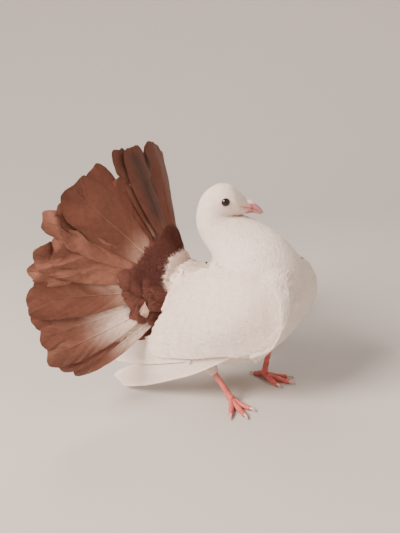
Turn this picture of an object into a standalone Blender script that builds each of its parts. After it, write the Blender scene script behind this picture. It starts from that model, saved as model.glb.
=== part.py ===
# A life-size fantail pigeon, standing, with its tail raised in a wide fan.
# The bird faces +X with +Z up. Sizes are millimetres until a mesh is made.
import math

import bmesh
import bpy
import numpy as np

MM = 0.001
GAP = 0.3                       # clear space between neighbouring pieces
UP = np.array([0.0, 0.0, 1.0])

# Rings of the body from the tail end to the bill: the point on the back (x, z),
# the point on the front (x, z), the half width, and how far the widest place
# lies towards the front.
BODY_RINGS = np.array([
    [-64, 101, -60, 84, 8, 0.0],
    [-60, 112, -54, 66, 20, 0.0],
    [-50, 116.5, -42, 46, 33, 0.0],
    [-39, 112.5, -20, 31.5, 43, 0.0],
    [-31, 108.5, 4, 29.5, 46.5, 0.05],
    [-24, 107, 25.5, 40.5, 47, 0.08],
    [-18, 105, 48, 62, 47.5, 0.08],
    [-14, 108, 60.5, 88.5, 45.5, 0.05],
    [-13, 115.5, 57.5, 114.5, 39, 0.0],
    [-18.5, 127, 43.5, 135.5, 30, -0.05],
    [-27, 139, 25, 149.5, 22.5, -0.1],
    [-31, 151, 9, 157, 18, -0.1],
    [-30, 164, 2, 158, 16, -0.1],
    [-24, 177, 4, 158, 15.5, -0.1],
    [-12, 185, 6, 158, 15, -0.1],
    [-1, 184, 8, 158, 13.5, -0.05],
    [7, 177, 10, 159, 10, 0.0],
    [13, 170, 13, 160, 6, 0.0],
], float)
TORSO_END, NECK_END = 8.5, 11.0     # rings where the torso and the neck stop
RING_SIDES = 26
HEAD_TURN = 25.0                    # degrees that the head looks to the left
TURN_FROM, TURN_TO = 8.0, 12.0      # rings between which the neck twists
TURN_X = -10.0                      # where the twist's upright axis stands

# The head's details are placed before the head is turned, as if it looked along +X.
BILL_ROOT, BILL_TIP = (13.0, 163.4), (24.2, 157.3)
BILL_HALF_WIDTH = 5.0
BILL_HEIGHTS = (4.9, 3.3)           # above and below the mouth line, at the head
CERE_AT, CERE_SIZE = (15.6, 0.0, 167.6), (4.3, 4.5, 2.7)
NOSTRIL_FROM, NOSTRIL_TO = (15.0, 4.4, 166.6), (18.6, 3.4, 165.2)
MOUTH_FROM = (6.0, 164.9)           # the corner of the mouth
EYE_RING, EYE_ANGLE = 13.85, 88.0   # where the right eye lies on the head
EYE_RADIUS = 4.1
EYE_SUNK = 2.2
LID_RING, LID_THICK = 4.35, 0.75    # radii of the lids' rim and of its section

TAIL_ROOT = np.array([-54.0, 0.0, 92.0])
TAIL_LEAN = 12.0  # degrees back at the middle
TAIL_SWEEP, TAIL_SWEEP_LEFT = 32.0, 38.0  # degrees back at the right and left sides
TAIL_REACH = 138.0
TAIL_FEATHERS = 12                  # a side
TAIL_FIRST, TAIL_LAST = 6.6, 105.0  # degrees from the middle to the shafts
TAIL_HALF_WIDTH = 14.5
TAIL_TILT = 5.0                     # degrees that each vane is turned about its shaft
COVERTS, COVERT_REACH = 8, 56.0     # short feathers over the roots of each half
CORE_SPREAD, CORE_REACH = 109.0, 38.0

# Rings of the folded wing from its bend to its tip: upper edge (x, y, z),
# lower edge (x, y, z), outward bulge between them, and thickness. y is outward.
WING_RINGS = np.array([
    [54, 36, 100, 54, 38, 78, 1, 7],
    [44, 36, 113, 46, 40, 61, 5, 9],
    [20, 33, 118, 20, 43, 49, 6, 8],
    [-5, 30, 118, -8, 46, 38, 6, 8],
    [-26, 30, 112, -35, 46, 28, 6, 6],
    [-45, 35, 97, -60, 44, 20, 5, 4],
    [-62, 40, 76, -80, 42, 15, 3, 3],
    [-76, 41, 54, -98, 39, 13, 1, 3],
    [-98, 39, 39, -111, 37, 12, 0, 3],
    [-118, 37, 27, -119, 36, 14, 0, 3],
], float)
ARM_END = 4.7                       # ring where the arm ends and only vanes go on
ARM_TRIM = 0.16                     # how far the arm stays inside the wing's edges
ARM_END_THICK = 5.0

# Tiers of the wing: vanes, the first and the last root (x, z), the first and
# the last tip (x, z), half width, how much of the length tapers, and the depth
# under the outside at the roots and at the tips.
WING_TIERS = (
    ("outer primaries", 4, (0, 43), (-6, 50), (-109, 10.5), (-119, 15.0), 7.5, 0.42, 3.2, 3.4),
    ("inner primaries", 5, (-8, 54), (-14, 68), (-118, 31), (-92, 48), 7.5, 0.42, 2.6, 2.0),
    ("secondaries", 8, (-10, 60), (-4, 104), (-74, 48), (-43, 97), 10.0, 0.22, 2.0, 0.6),
)

# Each leg: hock, ball of the foot, the foot's heading in degrees to the left.
LEGS = {
    "right": (np.array([-19.0, -27.0, 30.0]), np.array([-2.0, -28.0, 5.0]), -42.0),
    "left": (np.array([13.0, 27.0, 33.0]), np.array([5.0, 27.0, 5.0]), -12.0),
}
SHANK_RADIUS = 2.5
TOE_RADIUS = 2.3
CLAW_LENGTH = 6.5
# Toes: name, heading from the foot's own, length to the claw's root.
TOES = (("inner", 25.0, 21.0), ("middle", 1.0, 27.0), ("outer", -24.0, 23.0), ("hind", 174.0, 12.0))

WHITE = (0.87, 0.82, 0.78)
TAIL_BROWN = (0.36, 0.17, 0.11)
PINK = (0.78, 0.30, 0.28)
BILL_PINK = (0.80, 0.52, 0.48)
CERE_PINK = (0.88, 0.72, 0.68)
DARK = (0.02, 0.012, 0.01)
HORN = (0.55, 0.42, 0.38)


def material(name, colour, roughness):
    made = bpy.data.materials.new(name)
    made.use_nodes = True
    shader = made.node_tree.nodes["Principled BSDF"]
    shader.inputs["Base Color"].default_value = (*colour, 1.0)
    shader.inputs["Roughness"].default_value = roughness
    shader.inputs["Metallic"].default_value = 0.0
    made.diffuse_color = (*colour, 1.0)
    return made


def mesh_object(name, points, faces, finish=None):
    """A mesh object from points in millimetres, with its faces turned outwards."""
    data = bpy.data.meshes.new(name)
    data.from_pydata((np.asarray(points, float) * MM).tolist(), [], faces)
    shell = bmesh.new()
    shell.from_mesh(data)
    bmesh.ops.recalc_face_normals(shell, faces=shell.faces)
    if shell.calc_volume(signed=True) < 0:
        bmesh.ops.reverse_faces(shell, faces=shell.faces)
    shell.to_mesh(data)
    shell.free()
    made = bpy.data.objects.new(name, data)
    bpy.context.scene.collection.objects.link(made)
    if finish:
        data.materials.append(finish)
    data.shade_smooth()
    data.set_sharp_from_angle(angle=math.radians(40))
    return made


def along(rows, t):
    """The rows of a table, smoothed by a Catmull-Rom curve and read at place t."""
    rows = np.asarray(rows, float)
    t = np.clip(np.asarray(t, float), 0, len(rows) - 1)
    i = np.minimum(t.astype(int), len(rows) - 2)
    s = (t - i)[..., None]
    padded = np.vstack([2 * rows[0] - rows[1], rows, 2 * rows[-1] - rows[-2]])
    a, b, c, d = (padded[i + k] for k in range(4))
    return 0.5 * (2 * b + (c - a) * s + (2 * a - 5 * b + 4 * c - d) * s**2
                  + (3 * b - a - 3 * c + d) * s**3)


def ease(low, high, x):
    """0 below low, 1 above high, and smooth between them."""
    s = np.clip((np.asarray(x, float) - low) / (high - low), 0, 1)
    return s * s * (3 - 2 * s)


def unit(v):
    return v / np.linalg.norm(v, axis=-1, keepdims=True)


def twist(points, t):
    """Turns points about the neck's upright axis by as much as ring t is turned."""
    a = np.radians(HEAD_TURN) * ease(TURN_FROM, TURN_TO, t)
    x, y = points[..., 0] - TURN_X, points[..., 1]
    return np.stack([x * np.cos(a) - y * np.sin(a) + TURN_X,
                     x * np.sin(a) + y * np.cos(a), points[..., 2]], -1)


def loft_point(t, angle):
    """A point of the skin before the neck twists: angle 0 in front, 90 at the left side."""
    row = along(BODY_RINGS, t)
    middle = (row[..., 0:2] + row[..., 2:4]) / 2
    half = (row[..., 2:4] - row[..., 0:2]) / 2
    lengthwise = np.cos(angle) + row[..., 5] * np.sin(angle) ** 2
    return np.stack([middle[..., 0] + half[..., 0] * lengthwise, row[..., 4] * np.sin(angle),
                     middle[..., 1] + half[..., 1] * lengthwise], -1)


def body_point(t, angle):
    return twist(loft_point(t, angle), t)


def ring_normal(t):
    """The direction from tail to bill in which ring t faces."""
    row = along(BODY_RINGS, t)
    chord = unit(row[2:4] - row[0:2])
    return unit(twist(np.array([-chord[1] + TURN_X, 0.0, chord[0]]), t) - np.array([TURN_X, 0, 0]))


def body_normals(t, angle):
    """Outward directions of the skin, from small steps along the ring and along the body."""
    step = 0.01
    across = body_point(t, angle + step) - body_point(t, angle - step)
    onward = body_point(t + step, angle) - body_point(t - step, angle)
    return unit(np.cross(across, onward))


def tube(name, rings, finish=None):
    """A closed solid through rings of points, with a flat cap on each end."""
    count, sides = len(rings), len(rings[0])
    faces = []
    for i in range(count - 1):
        for j in range(sides):
            k = (j + 1) % sides
            faces.append((i * sides + j, i * sides + k, (i + 1) * sides + k, (i + 1) * sides + j))
    faces.append(tuple(range(sides))[::-1])
    faces.append(tuple(range((count - 1) * sides, count * sides)))
    return mesh_object(name, np.concatenate(rings), faces, finish)


def body_piece(name, start, end, steps, finish, grow=0.0, trim=(True, True)):
    """The part of the body between two rings, trimmed by half a gap at a cut, or grown."""
    angles = np.linspace(0, 2 * math.pi, RING_SIDES, endpoint=False)
    rings = []
    for t in np.linspace(start, end, steps):
        ring = body_point(np.full(RING_SIDES, t), angles)
        if grow:
            ring = ring + body_normals(np.full(RING_SIDES, t), angles) * grow
        if t == start and trim[0]:
            ring = ring + ring_normal(t) * GAP / 2
        if t == end and trim[1]:
            ring = ring - ring_normal(t) * GAP / 2
        rings.append(ring)
    return tube(name, rings, finish)


def shell_grid(name, outer, inner, finish=None):
    """A closed solid between two grids of points of the same size."""
    rows, columns = outer.shape[:2]
    count = rows * columns
    faces = []
    for i in range(rows - 1):
        for j in range(columns - 1):
            a, b = i * columns + j, i * columns + j + 1
            c, d = b + columns, a + columns
            faces += [(a, b, c), (a, c, d)]
            faces += [(a + count, c + count, b + count), (a + count, d + count, c + count)]
    rim = ([(0, j) for j in range(columns - 1)] + [(i, columns - 1) for i in range(rows - 1)]
           + [(rows - 1, j) for j in range(columns - 1, 0, -1)] + [(i, 0) for i in range(rows - 1, 0, -1)])
    ids = [i * columns + j for i, j in rim]
    for a, b in zip(ids, ids[1:] + ids[:1]):
        faces += [(a, b + count, b), (a, a + count, b + count)]
    points = np.concatenate([outer.reshape(-1, 3), inner.reshape(-1, 3)])
    return mesh_object(name, points, faces, finish)


def bake(piece):
    """Replaces the piece's mesh with what its modifiers make of it."""
    graph = bpy.context.evaluated_depsgraph_get()
    made = bpy.data.meshes.new_from_object(piece.evaluated_get(graph))
    piece.modifiers.clear()
    old, piece.data = piece.data, made
    bpy.data.meshes.remove(old)
    keep_largest(piece)


def keep_largest(piece):
    """Keeps only the closed surface that holds most, which fills sealed hollows."""
    shell = bmesh.new()
    shell.from_mesh(piece.data)
    bmesh.ops.triangulate(shell, faces=shell.faces)
    left, best, best_volume = set(shell.verts), [], -1.0
    while left:
        island, front = set(), [left.pop()]
        while front:
            vertex = front.pop()
            island.add(vertex)
            for edge in vertex.link_edges:
                other = edge.other_vert(vertex)
                if other in left:
                    left.discard(other)
                    front.append(other)
        faces = {face for vertex in island for face in vertex.link_faces}
        volume = abs(sum(f.verts[0].co.dot(f.verts[1].co.cross(f.verts[2].co)) for f in faces))
        if volume > best_volume:
            best, best_volume = island, volume
    bmesh.ops.delete(shell, geom=[v for v in shell.verts if v not in best], context="VERTS")
    shell.to_mesh(piece.data)
    shell.free()
    piece.data.shade_smooth()
    piece.data.set_sharp_from_angle(angle=math.radians(40))


def combine(piece, others, operation):
    """Joins the others to the piece, or cuts them from it, and removes them."""
    helpers = bpy.data.collections.new("helpers")
    bpy.context.scene.collection.children.link(helpers)
    for other in others:
        bpy.context.scene.collection.objects.unlink(other)
        helpers.objects.link(other)
    joined = piece.modifiers.new("join", "BOOLEAN")
    joined.operation = operation
    joined.operand_type = "COLLECTION"
    joined.collection = helpers
    joined.solver = "MANIFOLD"
    bpy.context.view_layer.update()
    bake(piece)
    for other in list(helpers.objects):
        bpy.data.objects.remove(other)
    bpy.data.collections.remove(helpers)
    return piece


def grown_head():
    """The head with a gap's width added all round and in front of its flat end."""
    piece = body_piece("grown_head", NECK_END - 0.4, len(BODY_RINGS) - 1.0, 19, None, GAP, (False, False))
    ahead = ring_normal(len(BODY_RINGS) - 1.0) * GAP * MM
    for vertex in piece.data.vertices[-RING_SIDES:]:
        vertex.co = [a + b for a, b in zip(vertex.co, ahead)]
    return piece


def grown_torso():
    return body_piece("grown_torso", 0.0, TORSO_END, 24, None, GAP, (False, False))


def grown_neck():
    return body_piece("grown_neck", TORSO_END - 0.4, NECK_END + 0.4, 17, None, GAP, (False, False))


def tail_frame():
    """The fan's own directions: forwards, upwards and to the right."""
    lean = math.radians(TAIL_LEAN)
    return (np.array([math.cos(lean), 0, math.sin(lean)]),
            np.array([-math.sin(lean), 0, math.cos(lean)]), np.array([0.0, -1.0, 0.0]))


def fan_point(spread, reach):
    """A point of the fan's middle surface, spread degrees right of the middle."""
    forward, upward, right = tail_frame()
    s = np.radians(spread)[..., None]
    right_back = math.tan(math.radians(TAIL_SWEEP)) * ease(0, 75, spread)
    left_back = math.tan(math.radians(TAIL_SWEEP_LEFT)) * ease(0, 60, -spread)
    back = np.where(spread > 0, right_back, left_back)[..., None] * np.abs(np.sin(s))
    way = unit(np.cos(s) * upward + np.sin(s) * right - back * forward)
    return TAIL_ROOT + way * reach[..., None]


def fan_normals(spread, reach):
    """Forward facing directions of the fan's surface."""
    round_it = fan_point(spread + 0.5, reach) - fan_point(spread - 0.5, reach)
    outward = fan_point(spread, reach + 0.5) - fan_point(spread, reach - 0.5)
    return unit(np.cross(outward, round_it))


def fan_plate(name, spreads, reaches, thickness, finish=None):
    """A closed plate on the fan between two spreads, as thick as said at each reach."""
    spread, reach = np.meshgrid(spreads, reaches, indexing="ij")
    middle, normal = fan_point(spread, reach), fan_normals(spread, reach)
    half = np.asarray(thickness)[None, :, None] / 2
    return shell_grid(name, middle + normal * half, middle - normal * half, finish)


def vane_width(s, taper, blunt):
    """Half width of a vane along its shaft, 1 at its widest and blunt at its tip."""
    end = np.clip((s - 1 + taper) / taper, 0, 1)
    return (0.35 + 0.65 * ease(0.0, 0.6, s)) * np.sqrt(1 - (1 - blunt**2) * end**2)


def fan_vane(spread, root, reach, half_width, lift, tilt, bend, thick, taper):
    """A vane on the fan: its shaft at one spread, tilted so that vanes overlap like tiles."""
    s = np.array([0.0, 0.3, 0.6, 0.82, 0.92, 0.975, 1.0])[:, None]
    w = np.array([-1.0, 0.0, 1.0])[None, :]
    away = root + (reach - root) * s - 1.5 * np.abs(w) * ease(0.8, 1.0, s)
    wide = half_width * vane_width(s, taper, 0.6)
    place = spread + np.degrees(w * wide / away) + bend * s**2
    place = np.sign(spread) * np.maximum(np.sign(spread) * place, 0.4 + 32.0 / away)
    middle = fan_point(place, away + 0 * place)
    normal = fan_normals(place, away + 0 * place)
    height = lift + w * wide * math.tan(math.radians(tilt)) - 0.05 * wide * np.abs(w)
    middle = middle + normal * height[..., None]
    half = thick / 2 * (1 - 0.35 * ease(0.85, 1.0, s))[..., None]
    return shell_grid("vane", middle + normal * half, middle - normal * half)


def tail_half(side, finish):
    """One half of the fan: a root, the long vanes that stand in it, and short coverts."""
    rng = np.random.default_rng(3 if side == "right" else 4)
    sign = 1 if side == "right" else -1
    core = fan_plate("tail_" + side, sign * np.linspace(1.2, CORE_SPREAD, 17),
                     np.array([7.0, 17, 28, CORE_REACH]), [12, 10, 7, 4.0], finish)
    vanes = []
    for spread in np.linspace(TAIL_FIRST, TAIL_LAST, TAIL_FEATHERS):
        reach = TAIL_REACH + rng.uniform(-5, 1.5)
        wide = TAIL_HALF_WIDTH * rng.uniform(0.95, 1.06) * (0.9 if spread < 8 else 1.0)
        bend = rng.uniform(-1.2, 1.2) * (spread > 8)
        vanes.append(fan_vane(sign * spread, 22.0, reach, wide, 0.0, sign * TAIL_TILT, bend,
                              0.8, rng.uniform(0.13, 0.2)))
    for spread in np.linspace(7.0, 101.0, COVERTS):
        vanes.append(fan_vane(sign * spread, 20.0, COVERT_REACH + rng.uniform(-5, 4), 8.0, 3.6,
                              sign * TAIL_TILT, 0.0, 0.8, 0.35))
    combine(core, vanes, "UNION")
    combine(core, [grown_torso()], "DIFFERENCE")
    return core


def body_breadth(x, z):
    """How far the body reaches sideways at x, z: the highest of cones set on its skin."""
    t, angle = np.meshgrid(np.linspace(0, 10, 90), np.linspace(0.02, math.pi - 0.02, 60))
    skin = body_point(t.ravel(), angle.ravel())
    away = np.hypot(x[..., None] - skin[:, 0], z[..., None] - skin[:, 2])
    return (skin[:, 1] - 1.3 * away).max(-1)


def wing_surface():
    """The folded left wing's outside: a patch over its rings, laid on the body."""
    places = np.linspace(0, len(WING_RINGS) - 1, 28)
    rows = along(WING_RINGS, places)[:, None, :]
    v = np.linspace(0, 1, 13)[None, :, None]
    outer = rows[..., 0:3] * (1 - v) + rows[..., 3:6] * v
    bulge = np.sin(math.pi * v[..., 0])
    outer[..., 1] += rows[..., 6] * bulge
    clear = body_breadth(outer[..., 0], outer[..., 2]) + 1.5 + 3.0 * bulge
    outer[..., 1] = np.maximum(outer[..., 1], clear)
    for _ in range(3):
        outer[1:-1, 1:-1, 1] = (outer[1:-1, 1:-1, 1] * 2 + outer[2:, 1:-1, 1] + outer[:-2, 1:-1, 1]
                                + outer[1:-1, 2:, 1] + outer[1:-1, :-2, 1]) / 6
    return outer


def wing_breadth(grid, x, z):
    """How far out the wing's outside lies at x, z: a soft mean of its grid nearby."""
    flat = grid.reshape(-1, 3)
    away = (x[..., None] - flat[:, 0]) ** 2 + (z[..., None] - flat[:, 2]) ** 2
    weight = np.exp(-(away - away.min(-1, keepdims=True)) / 30.0)
    return (weight * flat[:, 1]).sum(-1) / weight.sum(-1)


def wing_vane(grid, root, tip, half_width, taper, depths, tilt, bend, mirror):
    """A vane on the wing's outside, from root to tip (x, z), tilted about its shaft."""
    s = np.array([0.0, 0.3, 0.55, 0.75, 0.89, 0.97, 1.0])[:, None]
    w = np.array([-1.0, 0.0, 1.0])[None, :]
    line = np.asarray(tip, float) - root
    length = np.linalg.norm(line)
    across = np.array([-line[1], line[0]]) / length
    wide = half_width * vane_width(s, taper, 0.4) * w
    x = root[0] + line[0] * s + across[0] * (wide + bend * s * (1 - s))
    z = root[1] + line[1] * s + across[1] * (wide + bend * s * (1 - s))
    depth = depths[0] + (depths[1] - depths[0]) * ease(0.3, 1.0, s)
    y = wing_breadth(grid, x, z) - depth + wide * math.tan(math.radians(tilt))
    middle = np.stack([x, y, z], -1) * mirror
    half = np.array([0.0, 0.4, 0.0]) * (1 - 0.35 * ease(0.85, 1.0, s))[..., None]
    return shell_grid("vane", middle + half, middle - half)


def wing(side, finish):
    """A folded wing: the arm laid on the body, with tiers of vanes standing in its end."""
    rng = np.random.default_rng(5 if side == "right" else 6)
    mirror = np.array([1.0, -1.0 if side == "right" else 1.0, 1.0])
    grid = wing_surface()
    u, v = np.meshgrid(np.linspace(0, ARM_END, 15), np.linspace(0, 1, 10), indexing="ij")
    row = along(WING_RINGS, u)
    trim = ARM_TRIM * ease(2.0, ARM_END, u)
    place = (trim * 0.6 + (1 - trim * 1.6) * v)[..., None]
    outer = row[..., 0:3] * (1 - place) + row[..., 3:6] * place
    outer[..., 1] = wing_breadth(grid, outer[..., 0], outer[..., 2])
    normal = unit(np.cross(np.gradient(outer, axis=0), np.gradient(outer, axis=1)))
    normal *= np.sign(normal[..., 1:2])
    deep = row[..., 7] * (0.3 + 0.7 * np.sin(math.pi * v))
    deep += (ARM_END_THICK - deep) * ease(3.2, ARM_END, u)
    inner = outer - normal * deep[..., None]
    arm = shell_grid("wing_" + side, outer * mirror, inner * mirror, finish)
    vanes = []
    for _, count, root_a, root_b, tip_a, tip_b, wide, taper, depth_a, depth_b in WING_TIERS:
        for k in np.linspace(0, 1, count):
            root = np.array(root_a) * (1 - k) + np.array(root_b) * k
            tip = np.array(tip_a) * (1 - k) + np.array(tip_b) * k + rng.uniform(-1, 1, 2)
            vanes.append(wing_vane(grid, root, tip, wide * rng.uniform(0.96, 1.04), taper,
                                   (depth_a, depth_b), -4.0, rng.uniform(-3, 3), mirror))
    combine(arm, vanes, "UNION")
    combine(arm, [grown_torso(), grown_neck()], "DIFFERENCE")
    return arm


def rod(name, points, radii, sides, finish=None, flatten=0.0):
    """A round rod through points, level with the floor where it lies on it."""
    points = np.asarray(points, float)
    ways = unit(np.gradient(points, axis=0))
    angles = np.linspace(0, 2 * math.pi, sides, endpoint=False) + math.pi / sides
    rings = []
    for point, way, radius in zip(points, ways, radii):
        side = unit(np.cross(way, UP)) if abs(way[2]) < 0.95 else unit(np.cross(way, [0, 1.0, 0]))
        top = np.cross(side, way)
        ring = point + radius * (np.cos(angles)[:, None] * side + np.sin(angles)[:, None] * top)
        if flatten:
            ring[:, 2] = np.maximum(ring[:, 2], flatten)
        rings.append(ring)
    return tube(name, rings, finish)


def on_head(points):
    """Turns points with the head."""
    return twist(np.asarray(points, float), len(BODY_RINGS) - 1.0)


def bill_half(name, sign, grow, finish=None):
    """The upper (1) or lower (-1) half of the bill, from the head's flat end to its tip."""
    root = np.array([BILL_ROOT[0] + GAP, 0, BILL_ROOT[1]])
    line = np.array([BILL_TIP[0], 0, BILL_TIP[1]]) - root
    high = BILL_HEIGHTS[0] if sign > 0 else BILL_HEIGHTS[1]
    rings = []
    for s in (-0.1 if grow else 0.0, 0.25, 0.5, 0.75, 0.92, 1.0):
        reach = 1.0 if sign > 0 else 0.86
        centre = root + line * s * reach + UP * 1.1 * math.sin(math.pi * s * 0.9)
        taper = (1 - s) ** 0.75 * 0.9 + 0.1
        angles = np.linspace(0, math.pi, 9)
        ring = [centre + np.array([0, (BILL_HALF_WIDTH * taper + grow) * math.cos(a),
                                   sign * (high * taper + 2 * grow) * math.sin(a)])
                + UP * sign * (GAP / 2 - grow) for a in angles]
        rings.append(on_head(ring))
    return tube(name, rings, finish)


def ball(name, centre, radii, finish=None, sides=12):
    """A closed ellipsoid about a centre."""
    sphere = bmesh.new()
    bmesh.ops.create_uvsphere(sphere, u_segments=sides, v_segments=sides * 2 // 3, radius=1.0)
    points = np.array([v.co for v in sphere.verts]) * radii + centre
    faces = [tuple(v.index for v in f.verts) for f in sphere.faces]
    sphere.free()
    return mesh_object(name, points, faces, finish)


def cere(finish):
    """The soft swelling over the bill's root, with a slit for each nostril."""
    pitch = math.radians(24)
    made = ball("cere", (0, 0, 0), CERE_SIZE, finish, 14)
    for vertex in made.data.vertices:
        x, y, z = (c / MM for c in vertex.co)
        lobes = z + (0.5 - 0.9 * math.exp(-(y / 1.1) ** 2)) * (z > 0)
        turned = np.array([x * math.cos(pitch) + lobes * math.sin(pitch), y,
                           lobes * math.cos(pitch) - x * math.sin(pitch)]) + CERE_AT
        vertex.co = [float(c) * MM for c in on_head(turned)]
    slits = []
    for side in (-1, 1):
        ends = [np.array(p) * (1, side, 1) for p in (NOSTRIL_FROM, NOSTRIL_TO)]
        middle = (ends[0] + ends[1]) / 2
        slits.append(rod("slit", on_head([ends[0], middle, ends[1]]), [0.35, 0.75, 0.45], 8))
    combine(made, [grown_head(), bill_half("grown", 1, GAP), *slits], "DIFFERENCE")


def eye_place(side):
    """The eyeball's centre and its outward direction."""
    angle = np.radians(EYE_ANGLE if side == "left" else -EYE_ANGLE)
    outward = body_normals(EYE_RING, angle)
    return body_point(EYE_RING, angle) - outward * EYE_SUNK, outward


def lid(side):
    """A raised rim around the eye, a little higher at the brow."""
    centre, outward = eye_place(side)
    across = unit(np.cross(outward, UP))
    above = np.cross(across, outward)
    rings, around, section = [], 14, 5
    for a in np.linspace(0, 2 * math.pi, around, endpoint=False):
        way = across * math.cos(a) * 1.04 + above * math.sin(a) * 0.97
        middle = centre + outward * (EYE_SUNK - 0.1) + way * LID_RING
        rings.append([middle + LID_THICK * (math.cos(b) * way + math.sin(b) * outward)
                      for b in np.linspace(0, 2 * math.pi, section, endpoint=False)])
    faces = [(i * section + j, ((i + 1) % around) * section + j,
              ((i + 1) % around) * section + (j + 1) % section, i * section + (j + 1) % section)
             for i in range(around) for j in range(section)]
    return mesh_object("lid", np.concatenate(rings), faces)


def mouth_line(side):
    """A thin rod that cuts the line of the mouth behind the bill."""
    t, angle = np.meshgrid(np.linspace(12, 17, 60), np.linspace(0.05, math.pi - 0.05, 60))
    skin = loft_point(t.ravel(), angle.ravel())
    points = []
    for s in np.linspace(0, 1, 5):
        x = MOUTH_FROM[0] + (BILL_ROOT[0] + 1.0 - MOUTH_FROM[0]) * s
        z = MOUTH_FROM[1] + (BILL_ROOT[1] + 0.1 - MOUTH_FROM[1]) * s
        near = np.exp(-((skin[:, 0] - x) ** 2 + (skin[:, 2] - z) ** 2) / 0.8)
        points.append([x, (near * skin[:, 1]).sum() / near.sum() * (1 if side == "left" else -1), z])
    return rod("mouth", on_head(points), [0.2, 0.45, 0.5, 0.55, 0.55], 6)


def head(finish):
    made = body_piece("head", NECK_END, len(BODY_RINGS) - 1.0, 19, finish, trim=(True, False))
    combine(made, [lid("right"), lid("left")], "UNION")
    cutters = []
    for side in ("right", "left"):
        cutters.append(mouth_line(side))
        cutters.append(ball("socket", eye_place(side)[0], np.ones(3) * (EYE_RADIUS + GAP)))
    combine(made, cutters, "DIFFERENCE")


def heading(degrees):
    a = math.radians(degrees)
    return np.array([math.cos(a), math.sin(a), 0.0])


def leg(side, skin, horn):
    """The shank, the foot with its four toes, and the claws, resting on the floor."""
    hock, ball, faces_to = LEGS[side]
    way = unit(ball - hock)
    shank = rod("foot_" + side, [hock + way * 1.0, (hock + ball) / 2, ball],
                [SHANK_RADIUS * 1.15, SHANK_RADIUS * 0.9, SHANK_RADIUS * 1.25], 12, skin)
    pads = []
    for toe, turn, length in TOES:
        ahead = heading(faces_to + turn)
        places = [ball - UP * 1.0, ball * [1, 1, 0] + ahead * 6 + UP * 3.2,
                  ball * [1, 1, 0] + ahead * length * 0.6 + UP * 2.0,
                  ball * [1, 1, 0] + ahead * length + UP * 1.9]
        radii = [TOE_RADIUS * 1.1, TOE_RADIUS * 1.05, TOE_RADIUS, TOE_RADIUS * 0.8]
        pads.append(rod("toe", places, radii, 10, None, 1e-6))
        start = places[-1] + ahead * GAP
        claw = [start, start + ahead * CLAW_LENGTH * 0.5 + UP * 0.5,
                start + ahead * CLAW_LENGTH - UP * 1.2]
        rod(f"claw_{toe}_{side}", claw, [1.3, 1.0, 0.25], 8, horn)
    combine(shank, pads, "UNION")
    combine(shank, [grown_torso()], "DIFFERENCE")


def thigh(side, finish):
    """The feathered thigh between the belly and the bare shank."""
    hock, ball, _ = LEGS[side]
    way = unit(ball - hock)
    top = hock - way * 14 + UP * 8
    low = hock + way * (1.0 - GAP)
    made = rod("thigh_" + side, [top, (top + hock) / 2, hock - way * 2, low],
               [13.0, 10.5, 6.5, 4.2], 16, finish)
    combine(made, [grown_torso()], "DIFFERENCE")


def stand_at_origin():
    """Moves every piece so that the bird stands on z = 0 with its box centred."""
    pieces = [o for o in bpy.context.scene.objects if o.type == "MESH"]
    points = np.concatenate([np.array([v.co for v in o.data.vertices]) for o in pieces])
    low, high = points.min(0), points.max(0)
    shift = np.array([(low[0] + high[0]) / 2, (low[1] + high[1]) / 2, low[2]])
    for piece in pieces:
        for vertex in piece.data.vertices:
            vertex.co = [float(c) for c in np.array(vertex.co) - shift]


def main():
    for old in list(bpy.data.objects):
        bpy.data.objects.remove(old)
    white = material("white_plumage", WHITE, 0.8)
    brown = material("brown_plumage", TAIL_BROWN, 0.75)
    pink = material("leg_skin", PINK, 0.5)
    bill_finish = material("bill_horn", BILL_PINK, 0.4)
    cere_finish = material("cere_skin", CERE_PINK, 0.6)
    dark = material("eye_dark", DARK, 0.1)
    horn = material("claw_horn", HORN, 0.45)
    body_piece("torso", 0.0, TORSO_END, 24, white, trim=(False, True))
    body_piece("neck", TORSO_END, NECK_END, 9, white)
    head(white)
    bill_half("bill_upper", 1, 0.0, bill_finish)
    bill_half("bill_lower", -1, 0.0, bill_finish)
    cere(cere_finish)
    for side in ("right", "left"):
        ball("eye_" + side, eye_place(side)[0], np.ones(3) * EYE_RADIUS, dark)
    for side in ("right", "left"):
        tail_half(side, brown)
        wing(side, white)
        leg(side, pink, horn)
        thigh(side, white)
    stand_at_origin()


main()
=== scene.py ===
# A life-size fantail pigeon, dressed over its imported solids.
# Lengths are millimetres in the bird's own frame: it faces +X, +Y is its left, +Z is up.
import math

import bpy
import numpy as np
from mathutils import Matrix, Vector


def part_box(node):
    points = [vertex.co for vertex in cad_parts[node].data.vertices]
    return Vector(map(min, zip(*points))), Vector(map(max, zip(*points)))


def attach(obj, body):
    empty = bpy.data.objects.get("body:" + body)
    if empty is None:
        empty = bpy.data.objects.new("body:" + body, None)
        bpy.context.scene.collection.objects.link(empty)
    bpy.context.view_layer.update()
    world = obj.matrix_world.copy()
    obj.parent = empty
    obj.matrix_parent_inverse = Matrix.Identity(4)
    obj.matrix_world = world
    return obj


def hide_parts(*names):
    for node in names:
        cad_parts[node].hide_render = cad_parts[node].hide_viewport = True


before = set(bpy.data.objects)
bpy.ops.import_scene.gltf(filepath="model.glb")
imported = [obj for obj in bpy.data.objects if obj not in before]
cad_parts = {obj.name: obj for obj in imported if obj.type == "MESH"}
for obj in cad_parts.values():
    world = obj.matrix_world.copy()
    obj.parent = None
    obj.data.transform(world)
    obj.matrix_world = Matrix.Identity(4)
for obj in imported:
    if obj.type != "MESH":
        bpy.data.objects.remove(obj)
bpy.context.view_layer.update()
mm = 0.001
upward = np.array([0.0, 0.0, 1.0])
fullTurn = 2 * math.pi
patchSize = 0.003  # width of one feather's patch on the bake unwrap
print("frame loaded")

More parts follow.
